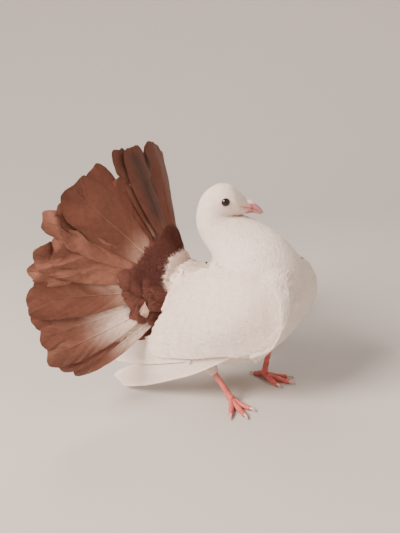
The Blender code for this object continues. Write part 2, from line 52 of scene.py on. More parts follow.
# rings of the body from the tail end to the bill:
# back x, back z, front x, front z, half width, how far forward the widest place lies
bodyRings = np.array([
    [-64, 101, -60, 84, 8, 0.0], [-60, 112, -54, 66, 20, 0.0], [-50, 116.5, -42, 46, 33, 0.0],
    [-39, 112.5, -20, 31.5, 43, 0.0], [-31, 108.5, 4, 29.5, 46.5, 0.05], [-24, 107, 25.5, 40.5, 47, 0.08],
    [-18, 105, 48, 62, 47.5, 0.08], [-14, 108, 60.5, 88.5, 45.5, 0.05], [-13, 115.5, 57.5, 114.5, 39, 0.0],
    [-18.5, 127, 43.5, 135.5, 30, -0.05], [-27, 139, 25, 149.5, 22.5, -0.1], [-31, 151, 9, 157, 18, -0.1],
    [-30, 164, 2, 158, 16, -0.1], [-24, 177, 4, 158, 15.5, -0.1], [-12, 185, 6, 158, 15, -0.1],
    [-1, 184, 8, 158, 13.5, -0.05], [7, 177, 10, 159, 10, 0.0], [13, 170, 13, 160, 6, 0.0]], float)
body = dict(turn=25.0, turnFrom=8.0, turnTo=12.0, turnX=-10.0, last=17.0, end=17.7)


def grid(first, second):
    # two arrays over every pair, the first parameter along the rows
    return np.meshgrid(first, second, indexing="ij")


def sideName(side):
    # 1 is the bird's left, -1 its right
    return "left" if side > 0 else "right"


def linked(name, data):
    # an object of the scene around a mesh, a lamp or a camera
    made = bpy.data.objects.new(name, data)
    bpy.context.scene.collection.objects.link(made)
    return made


def axesMatrix(right, top, back, at):
    # three directions and a place as one matrix
    return Matrix([[right[i], top[i], back[i], at[i]] for i in range(3)] + [[0, 0, 0, 1]])


def ease(low, high, x):
    # 0 below low, 1 above high, 3 s squared - 2 s cubed between
    s = np.clip((np.asarray(x, float) - low) / (high - low), 0, 1)
    return s * s * (3 - 2 * s)


def unit(v):
    # directions of length 1
    return v / np.maximum(np.linalg.norm(v, axis=-1, keepdims=True), 1e-12)


def dot(a, b):
    return (a * b).sum(-1, keepdims=True)


def blendTo(a, b, share):
    # from a to b by share, colours or points
    share = np.asarray(share, float)[..., None]
    return np.asarray(a, float) * (1 - share) + np.asarray(b, float) * share


def along(rows, t):
    # Catmull-Rom curve through the rows, read at place t
    t = np.clip(np.asarray(t, float), 0, len(rows) - 1)
    i = np.minimum(t.astype(int), len(rows) - 2)
    s = (t - i)[..., None]
    padded = np.vstack([2 * rows[0] - rows[1], rows, 2 * rows[-1] - rows[-2]])
    a, b, c, d = (padded[i + k] for k in range(4))
    return 0.5 * (2 * b + (c - a) * s + (2 * a - 5 * b + 4 * c - d) * s**2
                  + (3 * b - a - 3 * c + d) * s**3)


def twist(points, t):
    # turns points about the neck's upright line, by as much as ring t is turned
    a = np.radians(body["turn"]) * ease(body["turnFrom"], body["turnTo"], t)
    x, y = points[..., 0] - body["turnX"], points[..., 1]
    return np.stack([x * np.cos(a) - y * np.sin(a) + body["turnX"],
                     x * np.sin(a) + y * np.cos(a), points[..., 2]], -1)


def bodyPoint(t, angle):
    # an ellipse from the back point (180 degrees) to the front point (0), half width sideways
    past = np.maximum(np.asarray(t, float) - body["last"], 0)[..., None]
    row = along(bodyRings, t) + past * (bodyRings[-1] - bodyRings[-2])
    middle, half = (row[..., 0:2] + row[..., 2:4]) / 2, (row[..., 2:4] - row[..., 0:2]) / 2
    lengthwise = np.cos(angle) + row[..., 5] * np.sin(angle) ** 2
    return twist(np.stack([middle[..., 0] + half[..., 0] * lengthwise, row[..., 4] * np.sin(angle),
                           middle[..., 1] + half[..., 1] * lengthwise], -1), t)


def bodySlopes(t, angle):
    # change of place per ring and per radian
    low, high = np.clip(t - 0.02, 0, body["end"]), np.clip(t + 0.02, 0, body["end"])
    onward = (bodyPoint(high, angle) - bodyPoint(low, angle)) / (high - low)[..., None]
    around = (bodyPoint(t, angle + 0.02) - bodyPoint(t, angle - 0.02)) / 0.04
    return onward, around


def bodyNormal(t, angle):
    # straight out of the body, square to both slopes
    onward, around = bodySlopes(t, angle)
    return unit(np.cross(around, onward))


def onHead(points):
    # points given along the untwisted head, turned with it
    points = np.asarray(points, float)
    return twist(points, np.full(points.shape[:-1], body["last"]))


eye = dict(ring=13.85, angle=88.0, radius=4.1, sunk=2.2)


def eyePlace(side):
    # centre of an eyeball and its outward direction, side 1 left and -1 right
    ring, angle = np.array(eye["ring"]), np.array(np.radians(eye["angle"] * side))
    outward = bodyNormal(ring, angle)
    return bodyPoint(ring, angle) - outward * eye["sunk"], outward


eyeLow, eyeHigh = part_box("eye_right")
birdShift = eyePlace(-1)[0] - (np.array(eyeLow) + np.array(eyeHigh)) / 2 / mm


def flatFaces(faces, points):
    # turns the faces round if together they enclose a negative volume
    total = 0.0
    for f in faces:
        for k in range(1, f.shape[1] - 1):
            a, b, c = points[f[:, 0]], points[f[:, k]], points[f[:, k + 1]]
            total += (a * np.cross(b, c)).sum()
    return faces if total > 0 else [f[:, ::-1] for f in faces]


class Heap:
    # closed shapes gathered into one piece, with their colours and both maps
    def __init__(self):
        self.points, self.faces, self.tint, self.bake, self.vane, self.size = [], [], [], [], [], 0

    def add(self, points, faces, tint, bake=None, vane=None):
        points = np.asarray(points, float).reshape(-1, 3)
        self.faces += [f + self.size for f in flatFaces(faces, points - points.mean(0))]
        self.points.append(points)
        blank = np.zeros((len(points), 2))
        tint = np.asarray(tint, float)
        self.tint.append(np.broadcast_to(tint.reshape(-1, 3) if tint.ndim > 1 else tint, (len(points), 3)))
        self.bake.append(blank if bake is None else np.asarray(bake, float).reshape(-1, 2))
        self.vane.append(blank if vane is None else np.asarray(vane, float).reshape(-1, 2))
        self.size += len(points)

    def addLenses(self, points, tint, root, s, u, shape=(5, 7)):
        # feathers of one featherPattern, each a patch of the unwrap at its root's place
        faces, size = featherPattern(*shape)
        n = len(points)
        spot = root + patchSize * np.stack([u * 0.5, s - 0.5], -1)[None]
        vane = np.broadcast_to(np.stack([s, u * 0.05], -1), (n, len(s), 2))
        self.add(points, repeated(faces, n, size), tint, spot, vane)

    def make(self, name, material, crease=55.0):
        # the finished piece, its edges sharp past the crease angle
        mesh = bpy.data.meshes.new(name)
        places = (np.concatenate(self.points) - birdShift) * mm
        corners = np.concatenate([f.ravel() for f in self.faces]).astype(np.int32)
        sizes = np.concatenate([np.full(len(f), f.shape[1]) for f in self.faces])
        mesh.vertices.add(len(places))
        mesh.vertices.foreach_set("co", places.astype(np.float32).ravel())
        mesh.loops.add(len(corners))
        mesh.loops.foreach_set("vertex_index", corners)
        mesh.polygons.add(len(sizes))
        mesh.polygons.foreach_set("loop_start", (np.cumsum(sizes) - sizes).astype(np.int32))
        mesh.update(calc_edges=True)
        mesh.polygons.foreach_set("use_smooth", np.ones(len(sizes), bool))
        for label, values in (("OFBake", self.bake), ("vane", self.vane)):
            layer = mesh.uv_layers.new(name=label)
            layer.uv.foreach_set("vector", np.concatenate(values).astype(np.float32)[corners].ravel())
        colours = np.ones((len(places), 4), np.float32)
        colours[:, :3] = np.concatenate(self.tint)
        shown = mesh.color_attributes.new(name="tint", type="FLOAT_COLOR", domain="POINT")
        shown.data.foreach_set("color", colours.ravel())
        mesh.validate(clean_customdata=False)
        mesh.set_sharp_from_angle(angle=math.radians(crease))
        mesh.materials.append(material)
        piece = linked(name, mesh)
        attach(piece, "root")
        print("  ", name, len(sizes), "faces")
        return piece


def gridFaces(rows, columns, wrap=False, close=False):
    # quads of a grid of points; with wrap the last column joins the first, with close the last row
    i, j = grid(np.arange(rows if close else rows - 1), np.arange(columns if wrap else columns - 1))
    k, m = (i + 1) % rows, (j + 1) % columns
    return np.stack([i * columns + j, i * columns + m, k * columns + m, k * columns + j], -1).reshape(-1, 4)


def repeated(patterns, count, size):
    # the same face patterns for count shapes of size points each
    first = (np.arange(count) * size)[:, None, None]
    return [(pattern[None] + first).reshape(-1, pattern.shape[1]) for pattern in patterns]


def withEnds(values):
    # values of a closed tube's points; its two end points take those of the first and the last
    return np.concatenate([values, values[[0, -1]]])


def closedTube(rings):
    # rings joined to a closed tube, with a point at the middle of each end
    rows, columns = rings.shape[:2]
    points = np.concatenate([rings.reshape(-1, 3), [rings[0].mean(0)], [rings[-1].mean(0)]])
    j = np.arange(columns)
    k, base = (j + 1) % columns, (rows - 1) * columns
    first = np.stack([np.full(columns, rows * columns), k, j], -1)
    last = np.stack([np.full(columns, rows * columns + 1), base + j, base + k], -1)
    return points, [gridFaces(rows, columns, True), np.concatenate([first, last])]


def sweep(path, radii, sides, flat=1.0, relief=None):
    # circles square to the path, left at angle 0 and top at 90; relief(angle, s) adds to the radius
    ways = unit(np.gradient(path, axis=0))
    steep = np.abs(ways[:, 2]).max() > 0.93
    left = unit(np.cross(np.array([-1.0, 0, 0]) if steep else upward, ways))
    top = np.cross(ways, left)
    angle = np.linspace(0, fullTurn, sides, endpoint=False)[None]
    s = np.linspace(0, 1, len(path))[:, None]
    scale = np.asarray(radii, float)[:, None] + (relief(angle, s) if relief else 0.0)
    return (path[:, None] + (np.cos(angle) * scale)[..., None] * left[:, None]
            + (np.sin(angle) * scale * flat)[..., None] * top[:, None])


def resample(rows, count):
    # a smooth path of count points through the rows
    rows = np.asarray(rows, float)
    return along(rows, np.linspace(0, len(rows) - 1, count))


class Finish:
    # a material with patterns in the object's own coordinates, hung on its shader
    def __init__(self, name):
        self.made = bpy.data.materials.new(name)
        self.made.use_nodes = True
        self.nodes, self.links = self.made.node_tree.nodes, self.made.node_tree.links
        self.shader = self.nodes["Principled BSDF"]
        self.place = self.nodes.new("ShaderNodeTexCoord")

    def noise(self, scale, detail):
        node = self.nodes.new("ShaderNodeTexNoise")
        node.inputs["Scale"].default_value = scale
        node.inputs["Detail"].default_value = detail
        self.links.new(self.place.outputs["Object"], node.inputs["Vector"])
        return node.outputs["Fac"]

    def ramp(self, source, dark, light, span=(0.0, 1.0)):
        # dark up to the span's low end, light from its high end
        node = self.nodes.new("ShaderNodeValToRGB")
        for mark, place, colour in zip(node.color_ramp.elements, span, (dark, light)):
            mark.position, mark.color = place, tuple(colour) + (1.0,)
        self.links.new(source, node.inputs["Fac"])
        return node.outputs["Color"]

    def bump(self, height, strength, depth, below=None):
        # relief over the relief below
        node = self.nodes.new("ShaderNodeBump")
        node.inputs["Strength"].default_value = strength
        node.inputs["Distance"].default_value = depth
        self.links.new(height, node.inputs["Height"])
        if below is not None:
            self.links.new(below, node.inputs["Normal"])
        return node.outputs["Normal"]

    def ribs(self, lines):
        # bands across the vane map, as the barbs run
        own = self.nodes.new("ShaderNodeUVMap")
        own.uv_map = "vane"
        wave = self.nodes.new("ShaderNodeTexWave")
        wave.wave_type, wave.bands_direction = "BANDS", "Y"
        wave.inputs["Scale"].default_value = lines
        wave.inputs["Distortion"].default_value = 0.8
        self.links.new(own.outputs["UV"], wave.inputs["Vector"])
        return wave.outputs["Fac"]

    def times(self, first, second):
        # one colour multiplied by another
        node = self.nodes.new("ShaderNodeMix")
        node.data_type, node.blend_type = "RGBA", "MULTIPLY"
        node.inputs["Factor"].default_value = 1.0
        self.links.new(first, node.inputs[6])
        self.links.new(second, node.inputs[7])
        return node.outputs[2]


def finish(name, look):
    # tint attribute x noise at each mottle scale; bump from ribs across the vane map and fine grain
    paint = Finish(name)
    fixed = {"Roughness": look["roughness"], "Metallic": 0.0, "IOR": 1.45, "Sheen Roughness": 0.5,
             "Specular IOR Level": look.get("specular", 0.3), "Sheen Weight": look.get("sheen", 0.0),
             "Coat Weight": look.get("coat", 0.0), "Coat Roughness": 0.04,
             "Subsurface Weight": look.get("soft", 0.0), "Subsurface Radius": (1.0, 0.45, 0.35),
             "Subsurface Scale": look.get("softScale", 0.001)}
    for socket, value in fixed.items():
        paint.shader.inputs[socket].default_value = value
    own = paint.nodes.new("ShaderNodeAttribute")
    own.attribute_name = "tint"
    last, normal = own.outputs["Color"], None
    for scale, amount, detail in look["mottle"]:
        dark = [(1 - amount) * c for c in look.get("mottleTint", (1, 1, 1))]
        last = paint.times(last, paint.ramp(paint.noise(scale, detail), dark, (1, 1, 1), (0.32, 0.68)))
    paint.links.new(last, paint.shader.inputs["Base Color"])
    if "ribs" in look:
        lines, strength, depth = look["ribs"]
        normal = paint.bump(paint.ribs(lines), strength, depth)
    scale, strength, depth = look["grain"]
    normal = paint.bump(paint.noise(scale, 4.0), strength, depth, normal)
    paint.links.new(normal, paint.shader.inputs["Normal"])
    return paint.made


whitePlumage = finish("white plumage", dict(
    roughness=0.75, sheen=0.2, specular=0.15, soft=0.3, softScale=0.002,
    mottle=[(16, 0.05, 2), (160, 0.05, 3)], mottleTint=(1.0, 0.97, 0.95), ribs=(60, 0.12, 0.0001),
    grain=(900, 0.15, 0.0002)))
whiteSkin = finish("white down", dict(
    roughness=0.9, specular=0.1, mottle=[(60, 0.1, 3)], mottleTint=(1.0, 0.96, 0.93),
    grain=(700, 0.5, 0.0005)))
brownPlumage = finish("brown tail plumage", dict(
    roughness=0.6, sheen=0.15, specular=0.25, mottle=[(30, 0.14, 3), (260, 0.14, 4)],
    mottleTint=(0.98, 0.93, 0.9), ribs=(60, 0.3, 0.00012), grain=(700, 0.2, 0.0002)))
covertPlumage = finish("dark covert plumage", dict(
    roughness=0.8, sheen=0.25, specular=0.15, mottle=[(45, 0.2, 3), (420, 0.25, 4)],
    mottleTint=(0.96, 0.9, 0.88), ribs=(60, 0.35, 0.00015), grain=(900, 0.3, 0.0002)))
billHorn = finish("pink bill horn", dict(
    roughness=0.38, specular=0.4, soft=0.2, mottle=[(350, 0.12, 3)], grain=(900, 0.1, 0.0001)))
cereSkin = finish("chalky cere", dict(
    roughness=0.7, specular=0.3, soft=0.15, mottle=[(500, 0.12, 4)], grain=(1600, 0.4, 0.0002)))
lidSkin = finish("bare eye rim", dict(
    roughness=0.6, specular=0.3, soft=0.15, mottle=[(700, 0.15, 4)], grain=(2200, 0.5, 0.0002)))
eyeDark = finish("wet dark eye", dict(
    roughness=0.1, specular=0.25, coat=0.3, mottle=[(900, 0.3, 3)], grain=(300, 0.02, 0.0001)))
legSkin = finish("coral leg skin", dict(
    roughness=0.5, specular=0.35, soft=0.12, mottle=[(120, 0.2, 3), (900, 0.15, 3)],
    mottleTint=(0.98, 0.82, 0.82), grain=(1300, 0.3, 0.0002)))
clawHorn = finish("claw horn", dict(
    roughness=0.35, specular=0.4, mottle=[(300, 0.2, 3)], grain=(900, 0.1, 0.0001)))
print("finishes made")

# the coat's cream whites carry part of the warm light's colour, painted into them
coat = dict(
    # shade is a greyer white, painted at the feathers' roots and covered edges as shade under the feathers
    # above, and mixed at random into the down
    white=(0.875, 0.74, 0.655), shade=(0.79, 0.635, 0.545), wild=(0.42, 0.31, 0.25),
    depths=(1.2, 0.95, 0.45), thighDepth=1.0, perThigh=560,
    # bare under the arm: how deep in its outline, how far out, below which ring; round the eye; at the bill
    bareArm=(9, 22, 9), bareEye=3.7, billRing=17.55,
    # raised feathers on the rump: how far up, how much longer, which share of them brown and how far up
    raised=(0.4, 3.2), longer=0.35, wildShare=0.09, wildRaised=(1, 3.5),
    # area for each feather, length and half width, and their size at some rings
    torso=dict(perFeather=7.9, length=(10.5, 14.0), half=(2.9, 3.9), scale=[(0, 1), (8, 1), (9.7, 0.76)]),
    neck=dict(perFeather=2.85, length=(7.0, 9.5), half=(1.6, 2.2),
              scale=[(9.3, 1.25), (10.8, 1), (12.7, 0.85)]),
    head=dict(perFeather=0.78, length=(3.3, 4.4), half=(0.8, 1.1),
              scale=[(12.2, 1.6), (13.4, 1), (14.5, 1), (16.5, 0.7)]))


def coatDepth(t):
    # torso, neck and head depths joined smoothly along the rings
    torso, neck, head = coat["depths"]
    return torso + (neck - torso) * ease(7.5, 10, t) + (head - neck) * ease(10.5, 13, t)


skin = dict(top=17.3, rows=174, sides=110)
# radii from the top to below the hock; the top's way back up the leg and upward; the skin's way inward
thigh = dict(radii=(13.0, 10.5, 6.4, 3.7), rows=16, sides=28, above=14, raised=8, sock=5.0, coat=-1.2)
# joints of the legs and the way each foot points, in degrees to the left of straight ahead
legs = {
    -1: dict(hock=np.array([-19.0, -27, 30]), ball=np.array([-2.0, -28, 5]), heading=-42.0),
    1: dict(hock=np.array([13.0, 27, 33]), ball=np.array([5.0, 27, 5]), heading=-12.0)}


def thighRings(side, grow):
    # round sections along the line from inside the belly to the hock
    hock = legs[side]["hock"]
    way = unit(legs[side]["ball"] - hock)
    top = hock - way * thigh["above"] + upward * thigh["raised"]
    path = resample([top, (top + hock) / 2, hock - way * 2, hock + way * thigh["sock"]], thigh["rows"])
    radii = np.interp(np.linspace(0, 3, thigh["rows"]), range(4), np.array(thigh["radii"]) + grow)
    return sweep(path, radii, thigh["sides"])


def skinUnwrap(t, angle):
    # once round across, the rings upward, below the two bands of the thighs
    return np.stack([(angle / fullTurn) % 1, t * 0.9 / body["last"]], -1)


def thighUnwrap(side, around, down):
    # a band above the body for each thigh, around and down from 0 to 1
    return np.stack([0.05 + 0.4 * around + 0.5 * (side > 0), 0.92 + 0.06 * down], -1)


def makeSkin():
    # the body's rings drawn in by the coat's depth, closed at both ends, with both thighs
    t, angle = grid(np.linspace(0, skin["top"], skin["rows"]), np.linspace(0, fullTurn, skin["sides"], False))
    inner = bodyPoint(t, angle) - bodyNormal(t, angle) * coatDepth(t)[..., None]
    points, faces = closedTube(inner)
    unwrap = np.concatenate([skinUnwrap(t, angle).reshape(-1, 2), [[0.5, 0.0], [0.5, 0.9]]])
    heap = Heap()
    heap.add(points, faces, coat["white"], unwrap)
    for side in (-1, 1):
        rings = thighRings(side, thigh["coat"])
        points, faces = closedTube(rings)
        s, a = grid(np.linspace(0, 1, rings.shape[0]), np.linspace(0, 1, rings.shape[1]))
        place = thighUnwrap(side, a, s).reshape(-1, 2)
        heap.add(points, faces, coat["white"], withEnds(place))
    piece = heap.make("skin", whiteSkin, 180.0)
    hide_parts("torso", "neck", "head", "thigh_left", "thigh_right")


makeSkin()
print("skin made")


def featherPattern(rows, columns):
    # a thin lens: rows x columns on top, one line of points beneath, ends and edges shared
    def top(i, j):
        return i * columns + j

    def under(i):
        return rows * columns + i
    quads, tris = [], []
    for i in range(rows - 1):
        quads += [[top(i, j), top(i + 1, j), top(i + 1, j + 1), top(i, j + 1)] for j in range(columns - 1)]
    for i in range(rows - 2):
        quads.append([top(i, 0), under(i), under(i + 1), top(i + 1, 0)])
        quads.append([under(i), top(i, columns - 1), top(i + 1, columns - 1), under(i + 1)])
    low, tip = under(rows - 2), rows - 1
    tris += [[low, top(tip, j + 1), top(tip, j)] for j in range(columns - 1)]
    tris += [[low, top(tip, 0), top(tip - 1, 0)], [low, top(tip - 1, columns - 1), top(tip, columns - 1)]]
    tris += [[top(0, j), top(0, j + 1), under(0)] for j in range(columns - 1)]
    return (np.array(quads), np.array(tris)), rows * columns + rows - 1


def featherGrid(rows, columns):
    # s along and u across of every point of one feather, the under line last
    s, u = grid(np.linspace(0, 1, rows) ** 0.85, np.linspace(-1, 1, columns))
    lower = np.linspace(0, 1, rows)[:-1] ** 0.85
    return (np.concatenate([s.ravel(), lower]), np.concatenate([u.ravel(), 0 * lower]),
            np.concatenate([0 * s.ravel(), 0 * lower + 1]))


def scatter(count, weight, rows, columns, seed=0.5):
    # count places spread evenly by weight over a grid: low-discrepancy pairs through both sums
    n = np.arange(count)
    first, second = (seed + n * 0.7548776662) % 1, (seed + n * 0.5698402910) % 1
    lines = np.concatenate([[0], np.cumsum(weight.sum(1))])
    at = np.interp(first, lines / lines[-1], np.arange(len(lines)))
    i = np.clip(at.astype(int), 0, weight.shape[0] - 1)
    across = np.cumsum(weight, 1)
    across = across / np.maximum(across[:, -1:], 1e-12) + np.arange(weight.shape[0])[:, None]
    j = np.clip(np.searchsorted(across.ravel(), second + i) - i * weight.shape[1], 0, weight.shape[1] - 1)
    before = np.where(j > 0, across[i, np.maximum(j - 1, 0)] - i, 0)
    part = np.clip((second - before) / np.maximum(across[i, j] - i - before, 1e-9), 0, 1)
    return np.interp(at, np.arange(len(rows)), rows), np.interp(j + part, np.arange(len(columns)), columns)


# edges of the folded left wing from shoulder to tip:
# upper x, y, z, lower x, y, z, bulge
wingRings = np.array([
    [54, 36, 100, 54, 38, 78, 1], [44, 36, 113, 46, 40, 61, 5], [20, 33, 118, 20, 43, 49, 6],
    [-5, 30, 118, -8, 46, 38, 6], [-26, 30, 112, -35, 46, 28, 6], [-45, 35, 97, -60, 44, 20, 5],
    [-62, 40, 76, -80, 42, 15, 3], [-76, 41, 54, -98, 39, 13, 1], [-98, 39, 39, -111, 37, 12, 0],
    [-118, 37, 27, -119, 36, 14, 0]], float)
wing = dict(
    armEnd=4.7, shellDepth=1.2, perCovert=6.6,
    # body feathers over its edges: how they fall beyond the edge and sink inside it; those come that
    # are this far out and near the edge, rooted so far above the lower edge or ahead of the front
    fall=(0.6, 0.10), sink=0.16, comeOut=14, comeNear=9, comeAbove=10, comeFront=34,
    # least distance from the body at the edges and how much more amid them
    clear=(1.5, 3.0), mapFrom=(-126.0, 2.0), mapStep=1.5, mapSize=(134, 92),
    # flight feathers: count, roots and tips (x, z) from first to last, half width, tip power, depths
    outer=dict(count=4, roots=[(15, 55), (2, 58)], tips=[(-113, 6.0), (-121.0, 13.0)], half=7.8,
               power=5.0, depth=(4.2, 3.4)),
    inner=dict(count=5, roots=[(8, 59), (-14, 70)], tips=[(-118, 31.5), (-92, 48)], half=7.8,
               power=4.0, depth=(3.0, 2.2)),
    secondaries=dict(count=13, roots=[(-10, 60), (-8, 76), (-2, 92), (12, 108)],
                     tips=[(-73, 50), (-66, 66), (-55, 81), (-40, 97), (-20, 110)], half=9.5,
                     power=5.0, depth=(2.3, 0.8)),
    greater=dict(length=25.0, half=6.2, step=4.6, depth=1.3),
    # the arm's back and front end, the depth of the small coverts' roots, the ivory of the shafts
    arm=(-50, 54), covertDepth=1.1, shaftTint=(0.80, 0.70, 0.58))


def bodyBreadth(x, z):
    # how far the body reaches sideways at x, z: the highest of cones set on its skin
    t, angle = np.meshgrid(np.linspace(0, 10, 90), np.linspace(0.02, math.pi - 0.02, 60))
    flesh = bodyPoint(t.ravel(), angle.ravel())
    away = np.hypot(x[..., None] - flesh[:, 0], z[..., None] - flesh[:, 2])
    return (flesh[:, 1] - 1.3 * away).max(-1)


def wingSurface():
    # a patch between the edges, bulged by a sine across, kept clear of the body and smoothed
    rows = along(wingRings, np.linspace(0, 9, 28))[:, None, :]
    v = np.linspace(0, 1, 13)[None, :, None]
    outer = rows[..., 0:3] * (1 - v) + rows[..., 3:6] * v
    bulge = np.sin(math.pi * v[..., 0])
    outer[..., 1] += rows[..., 6] * bulge
    least, more = wing["clear"]
    clear = bodyBreadth(outer[..., 0], outer[..., 2]) + least + more * bulge
    outer[..., 1] = np.maximum(outer[..., 1], clear)
    for _ in range(3):
        outer[1:-1, 1:-1, 1] = (outer[1:-1, 1:-1, 1] * 2 + outer[2:, 1:-1, 1] + outer[:-2, 1:-1, 1]
                                + outer[1:-1, 2:, 1] + outer[1:-1, :-2, 1]) / 6
    return outer


def wingMapMade():
    # outward distance over a grid of x, z: a soft mean of the patch nearby
    x = wing["mapFrom"][0] + wing["mapStep"] * np.arange(wing["mapSize"][0])
    z = wing["mapFrom"][1] + wing["mapStep"] * np.arange(wing["mapSize"][1])
    xx, zz = grid(x, z)
    flat = wingSurface().reshape(-1, 3)
    away = (xx[..., None] - flat[:, 0]) ** 2 + (zz[..., None] - flat[:, 2]) ** 2
    weight = np.exp(-(away - away.min(-1, keepdims=True)) / 30.0)
    return (weight * flat[:, 1]).sum(-1) / weight.sum(-1)


wingMap = wingMapMade()


def wingOut(x, z):
    # outward distance of the left wing's outside at x, z: a cubic B-spline over the grid
    u = np.clip((np.asarray(x, float) - wing["mapFrom"][0]) / wing["mapStep"], 1, wingMap.shape[0] - 3.01)
    v = np.clip((np.asarray(z, float) - wing["mapFrom"][1]) / wing["mapStep"], 1, wingMap.shape[1] - 3.01)
    i, j = u.astype(int), v.astype(int)

    def spline(f):
        return [(1 - f) ** 3 / 6, (3 * f**3 - 6 * f**2 + 4) / 6,
                (-3 * f**3 + 3 * f**2 + 3 * f + 1) / 6, f**3 / 6]
    total = 0.0
    for a, first in enumerate(spline(u - i)):
        for b, second in enumerate(spline(v - j)):
            total = total + first * second * wingMap[i + a - 1, j + b - 1]
    return total


def armOutline():
    # the arm's edge as a closed line in x, z: upper edge back, lower edge forward again
    rows = along(wingRings, np.linspace(0, wing["armEnd"], 40))
    return np.concatenate([rows[:, [0, 2]], rows[::-1, [3, 5]]])


armLine = armOutline()


def armPlace(x, z):
    # how far x, z lies inside the arm's outline, negative outside, by the nearest edge
    start, end = armLine, np.roll(armLine, -1, 0)
    run = end - start
    p = np.stack([x, z], -1)[..., None, :]
    s = np.clip(((p - start) * run).sum(-1) / (run**2).sum(-1), 0, 1)
    away = np.sqrt(((p - start - s[..., None] * run) ** 2).sum(-1)).min(-1)
    over = (start[:, 1] > p[..., 1]) != (end[:, 1] > p[..., 1])
    rise = np.where(np.abs(run[:, 1]) < 1e-9, 1e-9, run[:, 1])
    crossing = start[:, 0] + (p[..., 1] - start[:, 1]) * run[:, 0] / rise
    inside = (over & (p[..., 0] < crossing)).sum(-1) % 2 == 1
    return np.where(inside, away, -away)


def overWing(points, base, rootX, rootZ):
    # moves body feathers that come over the wing's front and upper edges out onto it,
    # by as much as the wing's outside stands off the body there; they sink between its coverts
    x, y, z = base[..., 0], base[..., 1], base[..., 2]
    inside = armPlace(x, z)
    slope, curve = wing["fall"]
    gap = np.maximum(-inside, 0)
    rim = wingOut(x, z) - wing["sink"] * np.maximum(inside, 0) - slope * gap - curve * gap**2
    lowerEdge = np.interp(rootX, wingRings[::-1, 3], wingRings[::-1, 5])
    rooted = (rootZ > lowerEdge + wing["comeAbove"]) | (rootX > wing["comeFront"])
    comes = (np.abs(y) > wing["comeOut"]) & (inside > -wing["comeNear"]) & rooted
    out = np.where(comes, np.maximum(rim - np.abs(y), 0), 0)
    return points + np.stack([0 * x, np.sign(y) * out, 0 * x], -1)


def lieOf(t, angle):
    # feathers lie down the rings, drawn toward the tail on the trunk, turned into the skin's plane
    onward, around = bodySlopes(t, angle)
    normal = unit(np.cross(around, onward))
    trunk = (ease(3, 5, t) * (1 - ease(8.5, 11, t)))[..., None]
    way = unit(-onward) + trunk * np.array([-0.8, 0, 0]) * np.abs(np.sin(angle))[..., None]
    return unit(way - normal * dot(way, normal)), normal, onward, around


def stepAlong(t, angle, way, onward, around):
    # moves t and angle so that the point moves by way, from the two slopes' products
    a, b, c = dot(onward, onward), dot(onward, around), dot(around, around)
    p, q = dot(onward, way), dot(around, way)
    share = np.maximum(a * c - b * b, 1e-3)
    dt = np.clip((c * p - b * q) / share, -0.7, 0.7)[..., 0]
    da = np.clip((a * q - b * p) / share, -0.6, 0.6)[..., 0]
    return np.clip(t + dt, 0.0, body["end"]), angle + da


def fringe(rng, n, rows, columns):
    # how much shorter each feather's outline falls at its last two rows, as frayed barbs do
    ragged = rng.uniform(-0.17, 0.05, (n, rows, columns))
    ragged[:, :-2] = 0
    ragged[:, -2] *= 0.3
    return np.concatenate([ragged.reshape(n, -1), np.zeros((n, rows - 1))], 1)


def tucked(s, u, half):
    # tips and sides bend down into the feathers beneath, so that no gap opens under them
    return 0.02 - 0.055 * half * ease(0.72, 1.0, s) - 0.06 * half * u**2


def lensWidth(half, s, u):
    # half width x u, narrow at the root, full from the middle and narrowed again at the tip
    return half * u * (0.45 + 0.55 * ease(0, 0.5, s)) * (1 - 0.45 * ease(0.75, 1.0, s))


def lensReach(length, s, u, ragged):
    # length x (s - 0.22 u squared s), with the ragged outline added
    return length * (s - 0.22 * u**2 * s + ragged)


def lensHeight(depth, s, u, lower, half):
    # from depth beneath the outside at the root out to it at the tip, the under line lower by a thickness
    return tucked(s, u, half) - depth * (1 - s) ** 2.2 - lower * (0.03 + 0.015 * half)


def turned(way, normal, turn):
    # a direction turned about the normal
    return way * np.cos(turn) + np.cross(normal, way) * np.sin(turn)


def whiteTones(rng, n, s, u):
    # white at the tips, greyer at the roots and edges as painted shade under the feathers above, each feather
    # with its own tone
    tone = np.clip(rng.normal(0, 0.35, n), -1, 1)[:, None]
    return blendTo(coat["white"], coat["shade"], np.clip(0.35 * (1 - s)[None] + 0.12 * tone
                                                         + 0.1 * np.abs(u)[None], 0, 1))


def layFeathers(t, angle, length, half, turn, rise, ragged, rows, columns):
    # feathers marched along the lie from their roots, each point set in the skin's plane,
    # lifted from the skin's depth at the root to the coat's outside at the tip
    s, u, lower = featherGrid(rows, columns)
    stations = np.linspace(0, 1, rows) ** 0.85
    spine = [(t, angle)]
    for k in range(1, rows):
        at, ang = spine[-1]
        way, normal, onward, around = lieOf(at, ang)
        way = turned(way, normal, turn[:, None])
        gap = (length * (stations[k] - stations[k - 1]))[:, None]
        spine.append(stepAlong(at, ang, way * gap, onward, around))
    index = np.searchsorted(stations, s - 1e-9)
    tt = np.stack([p[0] for p in spine], 1)[:, index]
    aa = np.stack([p[1] for p in spine], 1)[:, index]
    way, normal, onward, around = lieOf(tt, aa)
    way = turned(way, normal, turn[:, None, None])
    wide = lensWidth(half[:, None], s, u)
    short = length[:, None] * (ragged - 0.22 * u**2 * s)
    shift = np.cross(normal, way) * wide[..., None] + way * short[..., None]
    tt, aa = stepAlong(tt, aa, shift, onward, around)
    height = rise[:, None] * s**2 + lensHeight(coatDepth(tt), s, u, lower, half[:, None])
    base = bodyPoint(tt, aa)
    return base + bodyNormal(tt, aa) * height[..., None], base, s, u


